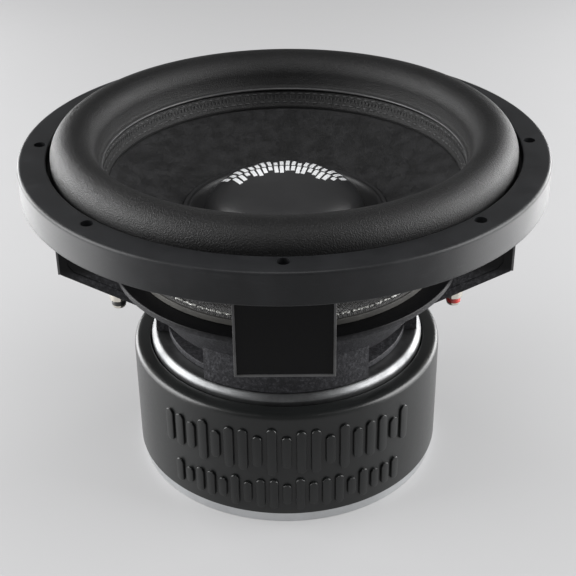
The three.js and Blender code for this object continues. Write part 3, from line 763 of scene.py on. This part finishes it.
# ---------- Basket ----------
def make_basket():
    flange = ring_section(FLANGE_BORE, FLANGE_RADIUS, TRIM_BOTTOM, FLANGE_TOP, (1, 0.6, 0.4, 1), 3)
    turned_piece("basket_flange", flange, "black_casting", stands_for=["basket"], flats=True,
                 holes=rods(BOLT_PLACES, BOLT_HOLE, TRIM_BOTTOM - BOLT_CUT, FLANGE_TOP + BOLT_CUT))
    bm = bmesh.new()
    turn(bm, ring_section(
        BASE_INNER, BASE_OUTER, BASE_BOTTOM, BASE_BOTTOM + BASE_THICK, (0.4, 0.4, 0.8, 0.8), 3))
    under = LEDGE_TOP - 4
    shelf = LEDGE_TOP - BOWL_WALL
    slope = (BOWL_HEAD - BOWL_FOOT) / (under - BOWL_FLOOR)
    turn(bm, rounded([
        (BOWL_FOOT - BOWL_WALL, BOWL_FLOOR, 0.8), (BOWL_FOOT, BOWL_FLOOR, 1.6), (BOWL_HEAD, under, 1.2),
        (LEDGE_RADIUS, under, 0.7), (LEDGE_RADIUS, LEDGE_TOP, 1.0), (LEDGE_INNER, LEDGE_TOP, 0.6),
        (LEDGE_INNER, shelf, 0.6), (BOWL_FOOT + (shelf - BOWL_FLOOR) * slope - BOWL_WALL, shelf, 2)], 4))
    make_feet(bm, slope)
    toe = BOWL_FOOT + (arm_under(LEDGE_RADIUS) - BOWL_FLOOR) * slope - BOWL_WALL - 2
    for degrees in (90, 270):
        arm_plate(bm, degrees, toe)
    for degrees in (0, 90, 180, 270):
        arm_webs(bm, degrees, toe)
    for side, degrees, sign in (("right", 0, 1), ("left", 180, -1)):
        plate = bmesh.new()
        arm_plate(plate, degrees, toe)
        posts = [(sign * POST_X, y) for y in (-POST_Y, POST_Y)]
        make_piece(f"terminal_arm_{side}", plate, "black_casting", stands_for=["basket"], crease=32,
                   flats=True, holes=rods(posts, BARREL_RADIUS + GAP, BARREL_BOTTOM, BLOCK_TOP, 48))
    make_piece("basket_casting", bm, "black_casting", stands_for=["basket"], crease=32, flats=True)
    make_arm_edges()


def make_feet(bm, slope):
    """Sector-shaped feet with flat ends: two wide ones, and a narrow one under each terminal arm."""
    top = BOWL_FLOOR + (FOOT_RADIUS - BOWL_FOOT) / slope + 1
    inner = SCREW_CIRCLE + SCREW_HEAD + GAP
    section = rounded([
        (inner, BASE_BOTTOM), (FOOT_RADIUS, BASE_BOTTOM, 0.8), (FOOT_RADIUS, top),
        (FOOT_RADIUS - BOWL_WALL, top), (inner, BOWL_FLOOR - 2)], 3)
    for middle, half in ((-90, 50), (90, 50), (0, 14), (180, 14)):
        centre = math.radians(middle)
        turn(bm, section, 40, lambda r: (centre - math.asin(half / r), centre + math.asin(half / r)))


def arm_under(x):
    return LEDGE_TOP - ARM_DROP + (x - LEDGE_RADIUS) * ARM_SLOPE


def arm_plate(bm, degrees, toe):
    """An arm's straight face, and its lower plate that runs in to the bowl."""
    corner = arm_under(ARM_FACE)
    prism(bm, [
        (ARM_FACE, ARM_TOP), (ARM_FACE, corner + 1.2), (ARM_FACE - 1, corner), (toe, arm_under(toe)),
        (toe, arm_under(toe) + ARM_RISE), (ARM_BACK - 3, arm_under(ARM_BACK - 3) + ARM_RISE),
        (ARM_BACK, arm_under(ARM_BACK) + ARM_RISE + 3), (ARM_BACK, ARM_TOP)],
        -ARM_HALF, ARM_HALF, 0.7, degrees)


def arm_webs(bm, degrees, toe):
    """The three webs inside an arm."""
    back = ARM_BACK
    heel = arm_under(back) + ARM_RISE
    tip = arm_under(toe) + ARM_RISE
    web = [(back + 1, ARM_TOP), (back + 1, heel - 1), (toe, tip - 1), (toe, tip + 1),
           (BOWL_HEAD, LEDGE_TOP - 3), (back - 9, heel + 7), (back - 7, heel + 12), (back - 7, ARM_TOP)]
    for y in (-ARM_HALF + 2.9, 0, ARM_HALF - 2.9):
        prism(bm, web, y - 2.5, y + 2.5, 0.8, degrees)


def make_arm_edges():
    """The thin rib that runs down both sides and along the foot of each arm's face, coloured lighter than the
    casting as a painted highlight.
    """
    bm = bmesh.new()
    low = arm_under(ARM_FACE) + 0.4
    back, front = ARM_FACE - 1, ARM_FACE + 0.9
    for degrees in (0, 90, 180, 270):
        for hand in (-1, 1):
            edge = hand * (ARM_HALF - 0.75)
            block(bm, back, front, edge - 0.7, edge + 0.7, low, TRIM_BOTTOM - 0.2, 0.45, degrees)
        block(bm, back, front - 0.1, -ARM_HALF + 0.3, ARM_HALF - 0.3, low - 0.1, low + 1.3, 0.45, degrees)
    make_piece("arm_edges", bm, "painted_rib_highlight", crease=32)


def make_trim(sizes):
    edge = sizes.trim_round / MM
    section = rounded([
        (TRIM_BORE, TRIM_SHELF), (TRIM_SEAM, TRIM_SHELF), (TRIM_SEAM, LIP_LEVEL),
        (FLANGE_RADIUS + GAP, LIP_LEVEL), (FLANGE_RADIUS + GAP, TRIM_BOTTOM),
        (FRAME_RADIUS, TRIM_BOTTOM, 1.2), (FRAME_RADIUS, TRIM_TOP, edge),
        (TRIM_BORE, TRIM_TOP, 1)], 6)
    turned_piece("trim_ring", section, "trim_rubber", segments=256, flats=True,
                 holes=rods(BOLT_PLACES, BOLT_HOLE, TRIM_BOTTOM - BOLT_CUT, TRIM_TOP + BOLT_CUT))


def make_screws():
    """Socket-head screws that hold the basket to the top plate."""
    seat = BASE_BOTTOM + BASE_THICK + GAP
    section = rounded([
        (0, SCREW_LOW), (SCREW_SHANK, SCREW_LOW, 0.6), (SCREW_SHANK, seat), (SCREW_HEAD, seat, 0.3),
        (SCREW_HEAD, SCREW_TOP, 0.9), (SOCKET_RADIUS, SCREW_TOP, 0.2), (SOCKET_RADIUS, SCREW_TOP - SOCKET_DEPTH),
        (0, SCREW_TOP - SOCKET_DEPTH)], 3)
    for number, degrees in enumerate(SCREW_BEARINGS, 1):
        turned_piece(f"screw_{number}", section, "black_oxide", stands_for=[f"basket_screw_{number}"],
                     segments=36, at=on_circle(SCREW_CIRCLE, degrees))


# ---------- Suspension ----------
def make_surround(sizes):
    """The tall half roll, and the band inside it that meets the cone."""
    skin = ROLL_SKIN
    bead = [(0.5, 4.0), (0.1, 3.0), (-0.6, 2.4), (-1.3, 1.8), (-1.6, 1.0), (-1.4, 0.2), (-0.8, -0.4),
            (-0.3, -0.8)]
    foot = [(0.9, 2.9), (0.1, 2.2), (-0.1, 1.2), (0, 0)]
    outside = [
        (SURROUND_LIP, LIP_LEVEL), (SURROUND_LIP, 207.2), (ROLL_FOOT + 0.8, 207.2), (ROLL_FOOT, 208.2),
        *arc(ROLL_CENTRE, ROLL_Z, ROLL_RADIUS, 0, 180, 48),
        *((BAND_TOP_RADIUS + out, BAND_TOP + up) for out, up in bead),
        *((BAND_FOOT_RADIUS + out, BAND_BOTTOM + up) for out, up in foot)]
    inside = [
        (BAND_FOOT_RADIUS + skin, BAND_BOTTOM), (BAND_TOP_RADIUS + skin, BAND_TOP),
        *arc(ROLL_CENTRE, ROLL_Z, ROLL_RADIUS - skin, 180, 0, 36), (ROLL_FOOT - skin, LIP_LEVEL)]
    bm = bmesh.new()
    turn(bm, [Vector(point) for point in outside + inside], 256)
    roll = make_piece("surround_roll", bm, "roll_foam", body=None, stands_for=["surround"], crease=50)
    flex(roll, ROLL_FOOT - 1, BAND_TOP_RADIUS + 3)
    make_stitches(sizes)


def make_stitches(sizes):
    """Two rows of stitches round the band, with fine upright ribs between them."""
    bm = bmesh.new()
    fall = (BAND_TOP_RADIUS - BAND_FOOT_RADIUS) / (BAND_TOP - BAND_BOTTOM)
    count = sizes.stitch_count
    for height in (BAND_BOTTOM + 4.2, BAND_TOP - 2.2):
        radius = BAND_FOOT_RADIUS + (height - BAND_BOTTOM) * fall - 0.1
        for i in range(count):
            thread(bm, radius, height, TURN * i / count, 0.33 * TURN / count, 0.5)
    for i in range(count * 2):
        height = (BAND_BOTTOM + BAND_TOP) / 2 + 1
        radius = BAND_FOOT_RADIUS + (height - BAND_BOTTOM) * fall
        thread(bm, radius, height, TURN * (i + 0.5) / (2 * count), 0.1 * TURN / count, 0.4, 1.5)
    make_piece("surround_stitches", bm, "seam_thread", body=MOVING)
    # A thin lighter ring laid on the band's bead, as a painted highlight line along the band's top edge.
    bead = bmesh.new()
    turn(bead, [Vector(point) for point in arc(BAND_TOP_RADIUS - 1.2, BAND_TOP + 1.3, 0.75, 0, 345, 23)], 256)
    make_piece("band_highlight_ring", bead, "painted_band_highlight", body=MOVING, crease=80)


def thread(bm, radius, height, bearing, half_turn, thick, tall=0.0):
    """One short rounded stitch that lies along the band, or stands up it when it is tall."""
    sides, rings = 6, 5
    loops = []
    for step in range(rings):
        share = 2 * step / (rings - 1) - 1
        slim = math.sqrt(max(0.02, 1 - share * share))
        loop = []
        for k in range(sides):
            a = TURN * k / sides
            loop.append(corner_at(bm, radius - math.cos(a) * thick * slim, bearing + share * half_turn,
                                  height + math.sin(a) * (thick + tall) * slim))
        loops.append(loop)
    bridge(bm, loops)


def make_spider():
    """The corrugated cloth disc, its board spacer and the bead of glue round its rim."""
    middle = (SPIDER_LOW + SPIDER_HIGH) / 2 - 0.6
    first, last = NECK_RADIUS + 3, SPIDER_OUTER - 7
    under = [(NECK_RADIUS, middle)]
    for i in range(97):
        s = 8 * i / 96
        fade = min(1, s, 8 - s)
        under.append((first + (last - first) * s / 8, middle - 2 * math.cos(math.pi * s) * fade))
    under.append((SPIDER_OUTER, middle))
    over = [(r, z + 1.2) for r, z in reversed(under)]
    bm = bmesh.new()
    turn(bm, under + over, 160)
    cloth = make_piece("spider_cloth_disc", bm, "spider_cloth", body=None, stands_for=["spider"], crease=60)
    flex(cloth, SPIDER_OUTER - 7, NECK_RADIUS + 2.5)
    turned_piece("spider_spacer", ring_section(
        LEDGE_INNER, SPACER_OUTER, SPACER_BOTTOM, SPACER_TOP, (0.3, 0.3, 0.5, 0.5)), "spacer_board")
    make_glue()


def make_glue():
    """A hand-laid bead of white glue, lumpy and broken in places."""
    chance = random.Random(12)
    bm = bmesh.new()
    angle = 0.0
    while angle < TURN:
        length = chance.uniform(0.02, 0.09)
        stops = []
        for step in range(9):
            a = angle + length * step / 8
            r = SPIDER_OUTER - 2 + chance.uniform(-0.5, 0.5)
            z = SPACER_TOP + 1.8 + chance.uniform(-0.35, 0.35)
            stops.append((r * math.cos(a), r * math.sin(a), z))
        sweep(bm, smooth_path(stops, 3), chance.uniform(0.4, 0.65), 8)
        angle += length + chance.uniform(0.004, 0.02)
    make_piece("glue_bead", bm, "white_glue", crease=70)


# ---------- Cone and coil ----------
def make_cone():
    drop = CONE_SKIN * math.hypot(1, CONE_FALL)
    neck = NECK_RADIUS + CONE_SKIN
    turned_piece("cone", rounded([
        (NECK_RADIUS, CONE_LOW), (neck, CONE_LOW, 0.5), (neck, cone_face(neck) - drop, 3),
        (BAND_FOOT_RADIUS, CONE_RIM_TOP - drop, 2), (CONE_RIM, CONE_RIM_TOP - CONE_SKIN, 0.3),
        (CONE_RIM, CONE_RIM_TOP, 0.3), (BAND_FOOT_RADIUS, CONE_RIM_TOP, 1), (NECK_RADIUS, NECK_Z)], 5),
        "cone_paper", MOVING, segments=256)


def make_dust_cap():
    """The dome, with its glued flange and the raised bead at the flange's edge."""
    def dome_line(radius, height, steps):
        angles = [math.pi / 2 * i / steps for i in range(steps)]
        return [Vector((radius * math.cos(a), DOME_BASE + height * math.sin(a))) for a in angles] + [
            Vector((0, DOME_BASE + height))]
    seat = 0.35
    inner = DOME_RADIUS - DOME_SKIN
    above = [(DUST_CAP_RADIUS, 0.9, 0.6), (61.6, 1.5, 0.8), (60, 3.4, 1.6), (57.8, 2.2, 1.2), (52.8, 1.1, 1.2)]
    edge = rounded([
        (inner, cone_face(DOME_RADIUS) + seat), (DUST_CAP_RADIUS, cone_face(DUST_CAP_RADIUS) + seat),
        *((radius, cone_face(radius) + seat + lift, turn_in) for radius, lift, turn_in in above)], 5)
    hollow = dome_line(inner, DOME_HEIGHT - DOME_SKIN, 24)
    section = [*reversed(hollow), *edge, *dome_line(DOME_RADIUS, DOME_HEIGHT, 40)]
    turned_piece("dust_cap", section, "dome_skin", MOVING, crease=60)
    make_cap_print()


def make_cap_print():
    """Two arched rows of level bars, printed on the dome."""
    bm = bmesh.new()
    centre = -62.0
    for baseline, count, reach, tallest, way in ((76.0, 20, 34.5, 13.0, 1), (74.0, 18, 31.5, 12.0, -1)):
        for i in range(count):
            share = 2 * i / (count - 1) - 1
            bearing = math.asin(share * reach / baseline)
            tall = tallest * (0.45 + 0.55 * abs(math.sin(i * 2.3 + baseline)))
            print_bar(bm, centre, bearing, baseline + way * tall / 2, 0.68 * reach / count, tall)
    make_piece("cap_print", bm, "white_ink", MOVING, crease=50)


def print_bar(bm, centre, bearing, radius, half, tall):
    """One printed bar that follows the dome, standing on its row's arc."""
    rows, columns = 6, 2

    def place(i, j, lift):
        across = -half + 2 * half * j / columns
        along = radius + tall * i / rows - tall / 2
        x = math.sin(bearing) * along + math.cos(bearing) * across
        y = centre + math.cos(bearing) * along - math.sin(bearing) * across
        return bm.verts.new(Vector((x, y, dome_height(x, y) + lift)) * MM)

    rims = []
    for lift in (0.14, -0.12):
        layer = [[place(i, j, lift) for j in range(columns + 1)] for i in range(rows + 1)]
        for low, high in zip(layer, layer[1:]):
            for j in range(columns):
                bm.faces.new((low[j], low[j + 1], high[j + 1], high[j]))
        rims.append([*layer[0], *(row[-1] for row in layer[1:]), *reversed(layer[-1][:-1]),
                     *(row[0] for row in reversed(layer[1:-1]))])
    top, low = rims
    for k in range(len(top)):
        m = (k + 1) % len(top)
        bm.faces.new((top[k], top[m], low[m], low[k]))


def make_coil():
    turned_piece("coil_former", ring_section(
        FORMER_OUTER - FORMER_WALL, FORMER_OUTER, FORMER_LOW, NECK_Z, (0.2, 0.2, 0.2, 0.2), 3),
        "bare_aluminium", MOVING)
    for name in ("voice_coil_lower", "voice_coil_upper"):
        low, high, outer = extent(name)
        winding = ring_section(outer - COIL_THICK, outer, low, high, (0.4, 0.5, 0.5, 0.4), 4)
        turned_piece(name, winding, "copper_wire", MOVING)


# ---------- Push terminals ----------
def make_terminals():
    for side, sign in (("right", 1), ("left", -1)):
        make_block(side, sign)
        for end in ("front", "back"):
            y = -POST_Y if end == "front" else POST_Y
            colour_name = "red_cap" if (side == "right") == (end == "front") else "black_cap"
            make_post(f"{side}_{end}", sign * POST_X, y, colour_name, sign)


def make_block(side, sign):
    """The moulded block that holds two barrels on the arm's lower plate."""
    bm = bmesh.new()
    rise = ARM_RISE + GAP
    prism(bm, [
        (BLOCK_INNER, arm_under(BLOCK_INNER) + rise), (BLOCK_OUTER, arm_under(BLOCK_OUTER) + rise),
        (BLOCK_OUTER, BLOCK_TOP), (BLOCK_INNER, BLOCK_TOP)], -BLOCK_HALF, BLOCK_HALF, 1.2, 0 if sign > 0 else 180)
    foot, head = BLOCK_TOP - 0.5, BLOCK_TOP + 0.25
    boss = rounded([(0, foot), (BOSS_RADIUS, foot), (BOSS_RADIUS, head, 0.2), (0, head)], 2)
    for y in (-POST_Y, POST_Y):
        turn(bm, boss, 40, at=(sign * POST_X, y))
    make_piece(f"terminal_block_{side}", bm, "terminal_plastic", stands_for=[f"terminal_block_{side}"],
               crease=35)


def make_post(post, x, y, cap_colour, sign):
    """One push terminal: barrel, spring, push cap, its colour band, and the solder tab above."""
    lip_top = BARREL_BOTTOM + 2
    turned_piece(f"barrel_{post}", rounded([
        (BARREL_LIP_BORE, BARREL_BOTTOM, 0.3), (BARREL_RADIUS, BARREL_BOTTOM, 0.7),
        (BARREL_RADIUS, BARREL_TOP, 0.3), (BARREL_BORE, BARREL_TOP, 0.2), (BARREL_BORE, lip_top, 0.2),
        (BARREL_LIP_BORE, lip_top, 0.2)], 4),
        "nickel", stands_for=[f"terminal_barrel_{post}"], segments=48, at=(x, y),
        holes=rod_across((x + sign * 6, y, BARREL_BOTTOM + 4.6), 1.7, 8, 24))
    body = f"push_cap_{post}"
    shoulder = lip_top + GAP
    turned_piece(f"cap_{post}", rounded([
        (0, PUSH_FOOT), (PUSH_RADIUS, PUSH_FOOT, 2.2), (PUSH_RADIUS, shoulder), (PUSH_SHOULDER, shoulder, 0.2),
        (PUSH_SHOULDER, PUSH_TOP, 0.4), (0, PUSH_TOP)], 6),
        "nickel", body, [f"push_cap_{post}"], 48, (x, y))
    band = ring_section(4.3, 4.62, BARREL_BOTTOM - 3.6, BARREL_BOTTOM - 0.5, (0.1, 0.15, 0.15, 0.1), 3)
    turned_piece(f"cap_band_{post}", band, cap_colour, body, [], 48, (x, y))
    make_spring(post, x, y)
    make_tab(post, sign * (LEDGE_RADIUS + 5), y)


def make_spring(post, x, y):
    """A closed-end coil spring between the push cap and the top of the barrel."""
    wire = 0.55
    radius = 3.75
    path = []
    low, high = SPRING_LOW + wire, SPRING_TOP - wire
    turns = 7
    for i in range(turns * 20 + 1):
        share = i / (turns * 20)
        eased = share - 0.09 * math.sin(TURN * share)
        angle = TURN * turns * share
        path.append((x + radius * math.cos(angle), y + radius * math.sin(angle), low + (high - low) * eased))
    bm = bmesh.new()
    sweep(bm, path, wire, 8)
    spring = make_piece(f"spring_{post}", bm, "spring_steel", stands_for=[f"terminal_spring_{post}"],
                        crease=70)
    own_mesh(spring)


def make_tab(post, x, y):
    """A solder tab with a hole near its top."""
    bm = bmesh.new()
    block(bm, x - 0.4, x + 0.4, y - 2.5, y + 2.5, TAB_BOTTOM, TAB_TOP, 0.15)
    make_piece(f"tab_{post}", bm, "brass_tab", stands_for=[f"solder_tab_{post}"],
               holes=rod_across((x, y, TAB_BOTTOM + 6), 1.1, 6, 20))


def make_leads():
    """Braided leads from the solder tabs, over the spider, to the coil former."""
    start = LEDGE_RADIUS + 4.3
    end = FORMER_OUTER + 0.85
    high = BLOCK_TOP + 10.9
    low = LEAD_LOW + LEAD_RADIUS
    stops = [
        (1, 1, 1, 0), (0.9, 1, 1, 0), (0.66, 0.85, 1, 1), (0.36, 0.6, 0.5, 1), (0.12, 0.45, 0, 0),
        (0, 0.4, 0, 0)]
    for post in POSTS:
        sign = 1 if post.startswith("right") else -1
        y = -POST_Y if post.endswith("front") else POST_Y
        path = [(sign * (end + out * (start - end)), aside * y, low + up * (high - low) + lift)
                for out, aside, up, lift in stops]
        bm = bmesh.new()
        sweep(bm, smooth_path(path), LEAD_RADIUS, 12)
        lead = make_piece(f"lead_{post}", bm, "tinsel_braid", body=None, stands_for=[f"tinsel_lead_{post}"],
                          crease=70)
        flex(lead, start - 2, end + 2)


# ---------- Stage ----------
def make_stage(sizes):
    """A pale floor, three lights at each side, a soft one above, and the camera."""
    floor_mesh = bpy.data.meshes.new("floor")
    corners = [(x * FLOOR_HALF, y * FLOOR_HALF, 0) for x, y in ((-1, -1), (1, -1), (1, 1), (-1, 1))]
    floor_mesh.from_pydata(corners, [], [(0, 1, 2, 3)])
    floor = add_object("floor", floor_mesh)
    paint = Finish("studio_floor")
    paint.feed("Base Color", (*sizes.floor_colour, 1))
    paint.feed("Emission Color", (1, 1, 1, 1))
    paint.feed("Emission Strength", sizes.floor_glow)
    paint.feed("Roughness", 0.55 + paint.noise(30, 3) * 0.1)
    floor_mesh.materials.append(paint.material)
    middle = (0, 0, 0.15)
    lamps = [("top_light", (0.0, -0.75, 1.6), middle, (0.8, 0.5), sizes.top_light)]
    for side, sign in (("left", -1), ("right", 1)):
        lamps += [
            (f"{side}_light", (sign * 1.25, -0.1, 0.6), middle, (1.0, 1.0), sizes.side_light),
            (f"{side}_rim_light", (sign * 0.95, 0.75, 0.32), middle, (0.7, 0.5), sizes.rim_light),
            (f"{side}_low_light", (sign * 0.43, 0.1, 0.01), (sign * 0.36, 0.1, 0.5), (0.6, 0.42),
             sizes.low_light),
        ]
    for name, place, target, (wide, tall), power in lamps:
        lamp = bpy.data.lights.new(name, "AREA")
        lamp.shape = "RECTANGLE"
        lamp.size, lamp.size_y = wide, tall
        lamp.energy = power
        holder = add_object(name, lamp)
        holder.location = place
        holder.visible_camera = False
        holder.rotation_mode = "QUATERNION"
        holder.rotation_quaternion = (Vector(target) - Vector(place)).to_track_quat("-Z", "Y")
    world = bpy.data.worlds.new("studio")
    bpy.context.scene.world = world
    world.use_nodes = True
    sky = world.node_tree.nodes["Background"].inputs
    sky["Color"].default_value = (1, 1, 1, 1)
    sky["Strength"].default_value = sizes.room_light
    bpy.context.scene.view_settings.view_transform = "Standard"
    make_camera()


def make_camera():
    pitch, yaw, roll = (math.radians(angle) for angle in CAMERA_TURN)
    forward = Vector((math.sin(yaw) * math.cos(pitch), math.cos(yaw) * math.cos(pitch), -math.sin(pitch)))
    right = Vector((math.cos(yaw), -math.sin(yaw), 0))
    up = right.cross(forward)
    axis_x = right * math.cos(roll) - up * math.sin(roll)
    axis_y = right * math.sin(roll) + up * math.cos(roll)
    data = bpy.data.cameras.new("camera")
    data.sensor_width = 36
    data.lens = CAMERA_LENS
    camera = add_object("camera", data)
    turned = Matrix((axis_x, axis_y, -forward)).transposed().to_4x4()
    camera.matrix_world = Matrix.Translation(CAMERA_PLACE) @ turned
    bpy.context.scene.camera = camera


# ---------- Add-on ----------
def paint_property(name, description, default):
    return FloatVectorProperty(name=name, description=description, default=default, subtype="COLOR", size=3,
                               min=0, max=1)


def power_property(name, description, default):
    return FloatProperty(name=name, description=description, default=default, min=0, unit="POWER")


def depth_property(name, description, default, low, high):
    return FloatProperty(name=name, description=description, default=default, min=low, max=high,
                         subtype="DISTANCE", unit="LENGTH")


class DriverSettings(bpy.types.PropertyGroup):
    """Sizes and colours of the driver that can be changed."""

    trim_colour: paint_property("Trim ring", "Colour of the rubber trim ring", (0.013, 0.0134, 0.0145))
    casting_colour: paint_property("Basket", "Colour of the painted basket", (0.003, 0.003, 0.0033))
    roll_colour: paint_property("Surround", "Colour of the surround's roll", (0.0055, 0.0055, 0.0057))
    cone_colour: paint_property("Cone", "Colour of the cone's paper", (0.010, 0.010, 0.0105))
    boot_colour: paint_property("Boot", "Colour of the magnet boot", (0.006, 0.0066, 0.0066))
    trim_round: depth_property("Trim edge", "Round on the trim ring's outer edge", 0.0026, 0.0005, 0.006)
    relief_height: depth_property("Relief", "Height of the bars raised from the boot", 0.0016, 0.0, 0.002)
    relief_bars: IntProperty(name="Relief bars", description="Bars in each raised row on the boot",
                             default=19, min=3, max=61)
    stitch_count: IntProperty(name="Stitches", description="Stitches in each row round the surround's band",
                              default=132, min=24, max=300)


class StudioSettings(bpy.types.PropertyGroup):
    """Light and floor of the studio."""

    floor_colour: paint_property("Floor", "Colour of the studio floor", (0.18, 0.18, 0.184))
    floor_glow: FloatProperty(name="Floor glow", description="Light given off by the floor",
                              default=0.28, min=0, max=2)
    side_light: power_property("Side lights", "Power of each large side light", 34.0)
    rim_light: power_property("Rim lights", "Power of each light behind the object", 13.0)
    low_light: power_property("Low lights", "Power of each light lying at a side", 3.3)
    top_light: power_property("Top light", "Power of the light above", 8.0)
    room_light: FloatProperty(name="Room light", description="Brightness of the room round the object",
                              default=0.17, min=0, max=4)


class BuildStep:
    """What every building step shares. An error in build() stops the step."""

    def execute(self, context):
        self.build(context.scene)
        return {"FINISHED"}


class SUBWOOFER_OT_finishes(BuildStep, bpy.types.Operator):
    """Mix every paint, rubber, paper and metal"""

    bl_idname = "subwoofer.finishes"
    bl_label = "Finishes"

    def build(self, scene):
        make_finishes(scene.driver)


class SUBWOOFER_OT_motor(BuildStep, bpy.types.Operator):
    """Build the plates, pole, magnets and shorting ring"""

    bl_idname = "subwoofer.motor"
    bl_label = "Motor"

    def build(self, scene):
        make_motor()


class SUBWOOFER_OT_boot(BuildStep, bpy.types.Operator):
    """Build the magnet boot and its raised bars"""

    bl_idname = "subwoofer.boot"
    bl_label = "Magnet boot"

    def build(self, scene):
        make_boot(scene.driver)


class SUBWOOFER_OT_basket(BuildStep, bpy.types.Operator):
    """Build the cast basket and its screws"""

    bl_idname = "subwoofer.basket"
    bl_label = "Basket"

    def build(self, scene):
        make_basket()
        make_screws()


class SUBWOOFER_OT_trim(BuildStep, bpy.types.Operator):
    """Build the rubber trim ring with its bolt holes"""

    bl_idname = "subwoofer.trim"
    bl_label = "Trim ring"

    def build(self, scene):
        make_trim(scene.driver)


class SUBWOOFER_OT_suspension(BuildStep, bpy.types.Operator):
    """Build the surround, its stitches, the spider, its spacer and its glue"""

    bl_idname = "subwoofer.suspension"
    bl_label = "Surround and spider"

    def build(self, scene):
        make_surround(scene.driver)
        make_spider()


class SUBWOOFER_OT_cone(BuildStep, bpy.types.Operator):
    """Build the cone, dust cap, coil former and windings"""

    bl_idname = "subwoofer.cone"
    bl_label = "Cone and coil"

    def build(self, scene):
        make_cone()
        make_dust_cap()
        make_coil()


class SUBWOOFER_OT_terminals(BuildStep, bpy.types.Operator):
    """Build the push terminals, their springs and tabs, and the leads to the coil"""

    bl_idname = "subwoofer.terminals"
    bl_label = "Terminals and leads"

    def build(self, scene):
        make_terminals()
        make_leads()


class SUBWOOFER_OT_stage(BuildStep, bpy.types.Operator):
    """Set out the floor, lights and camera"""

    bl_idname = "subwoofer.stage"
    bl_label = "Studio"

    def build(self, scene):
        make_stage(scene.studio)


STEPS = [
    SUBWOOFER_OT_finishes, SUBWOOFER_OT_stage, SUBWOOFER_OT_motor, SUBWOOFER_OT_boot, SUBWOOFER_OT_basket,
    SUBWOOFER_OT_trim, SUBWOOFER_OT_suspension, SUBWOOFER_OT_cone, SUBWOOFER_OT_terminals,
]


class SUBWOOFER_PT_sidebar(bpy.types.Panel):
    """Steps that build the driver, in order"""

    bl_idname = "SUBWOOFER_PT_sidebar"
    bl_label = "Subwoofer driver"
    bl_space_type = "VIEW_3D"
    bl_region_type = "UI"
    bl_category = "Subwoofer"

    def draw(self, context):
        for settings in (context.scene.driver, context.scene.studio):
            for name in settings.__annotations__:
                self.layout.prop(settings, name)
        for step in STEPS:
            self.layout.operator(step.bl_idname)


CLASSES = [DriverSettings, StudioSettings, *STEPS, SUBWOOFER_PT_sidebar]


def register():
    for item in CLASSES:
        bpy.utils.register_class(item)
    bpy.types.Scene.driver = PointerProperty(type=DriverSettings)
    bpy.types.Scene.studio = PointerProperty(type=StudioSettings)


def unregister():
    del bpy.types.Scene.studio
    del bpy.types.Scene.driver
    for item in reversed(CLASSES):
        bpy.utils.unregister_class(item)


def main():
    for plain in list(bpy.data.materials):
        plain.name = "frame_" + plain.name
    register()
    for step in STEPS:
        group, action = step.bl_idname.split(".")
        getattr(getattr(bpy.ops, group), action)()


if __name__ == "__main__":
    main()
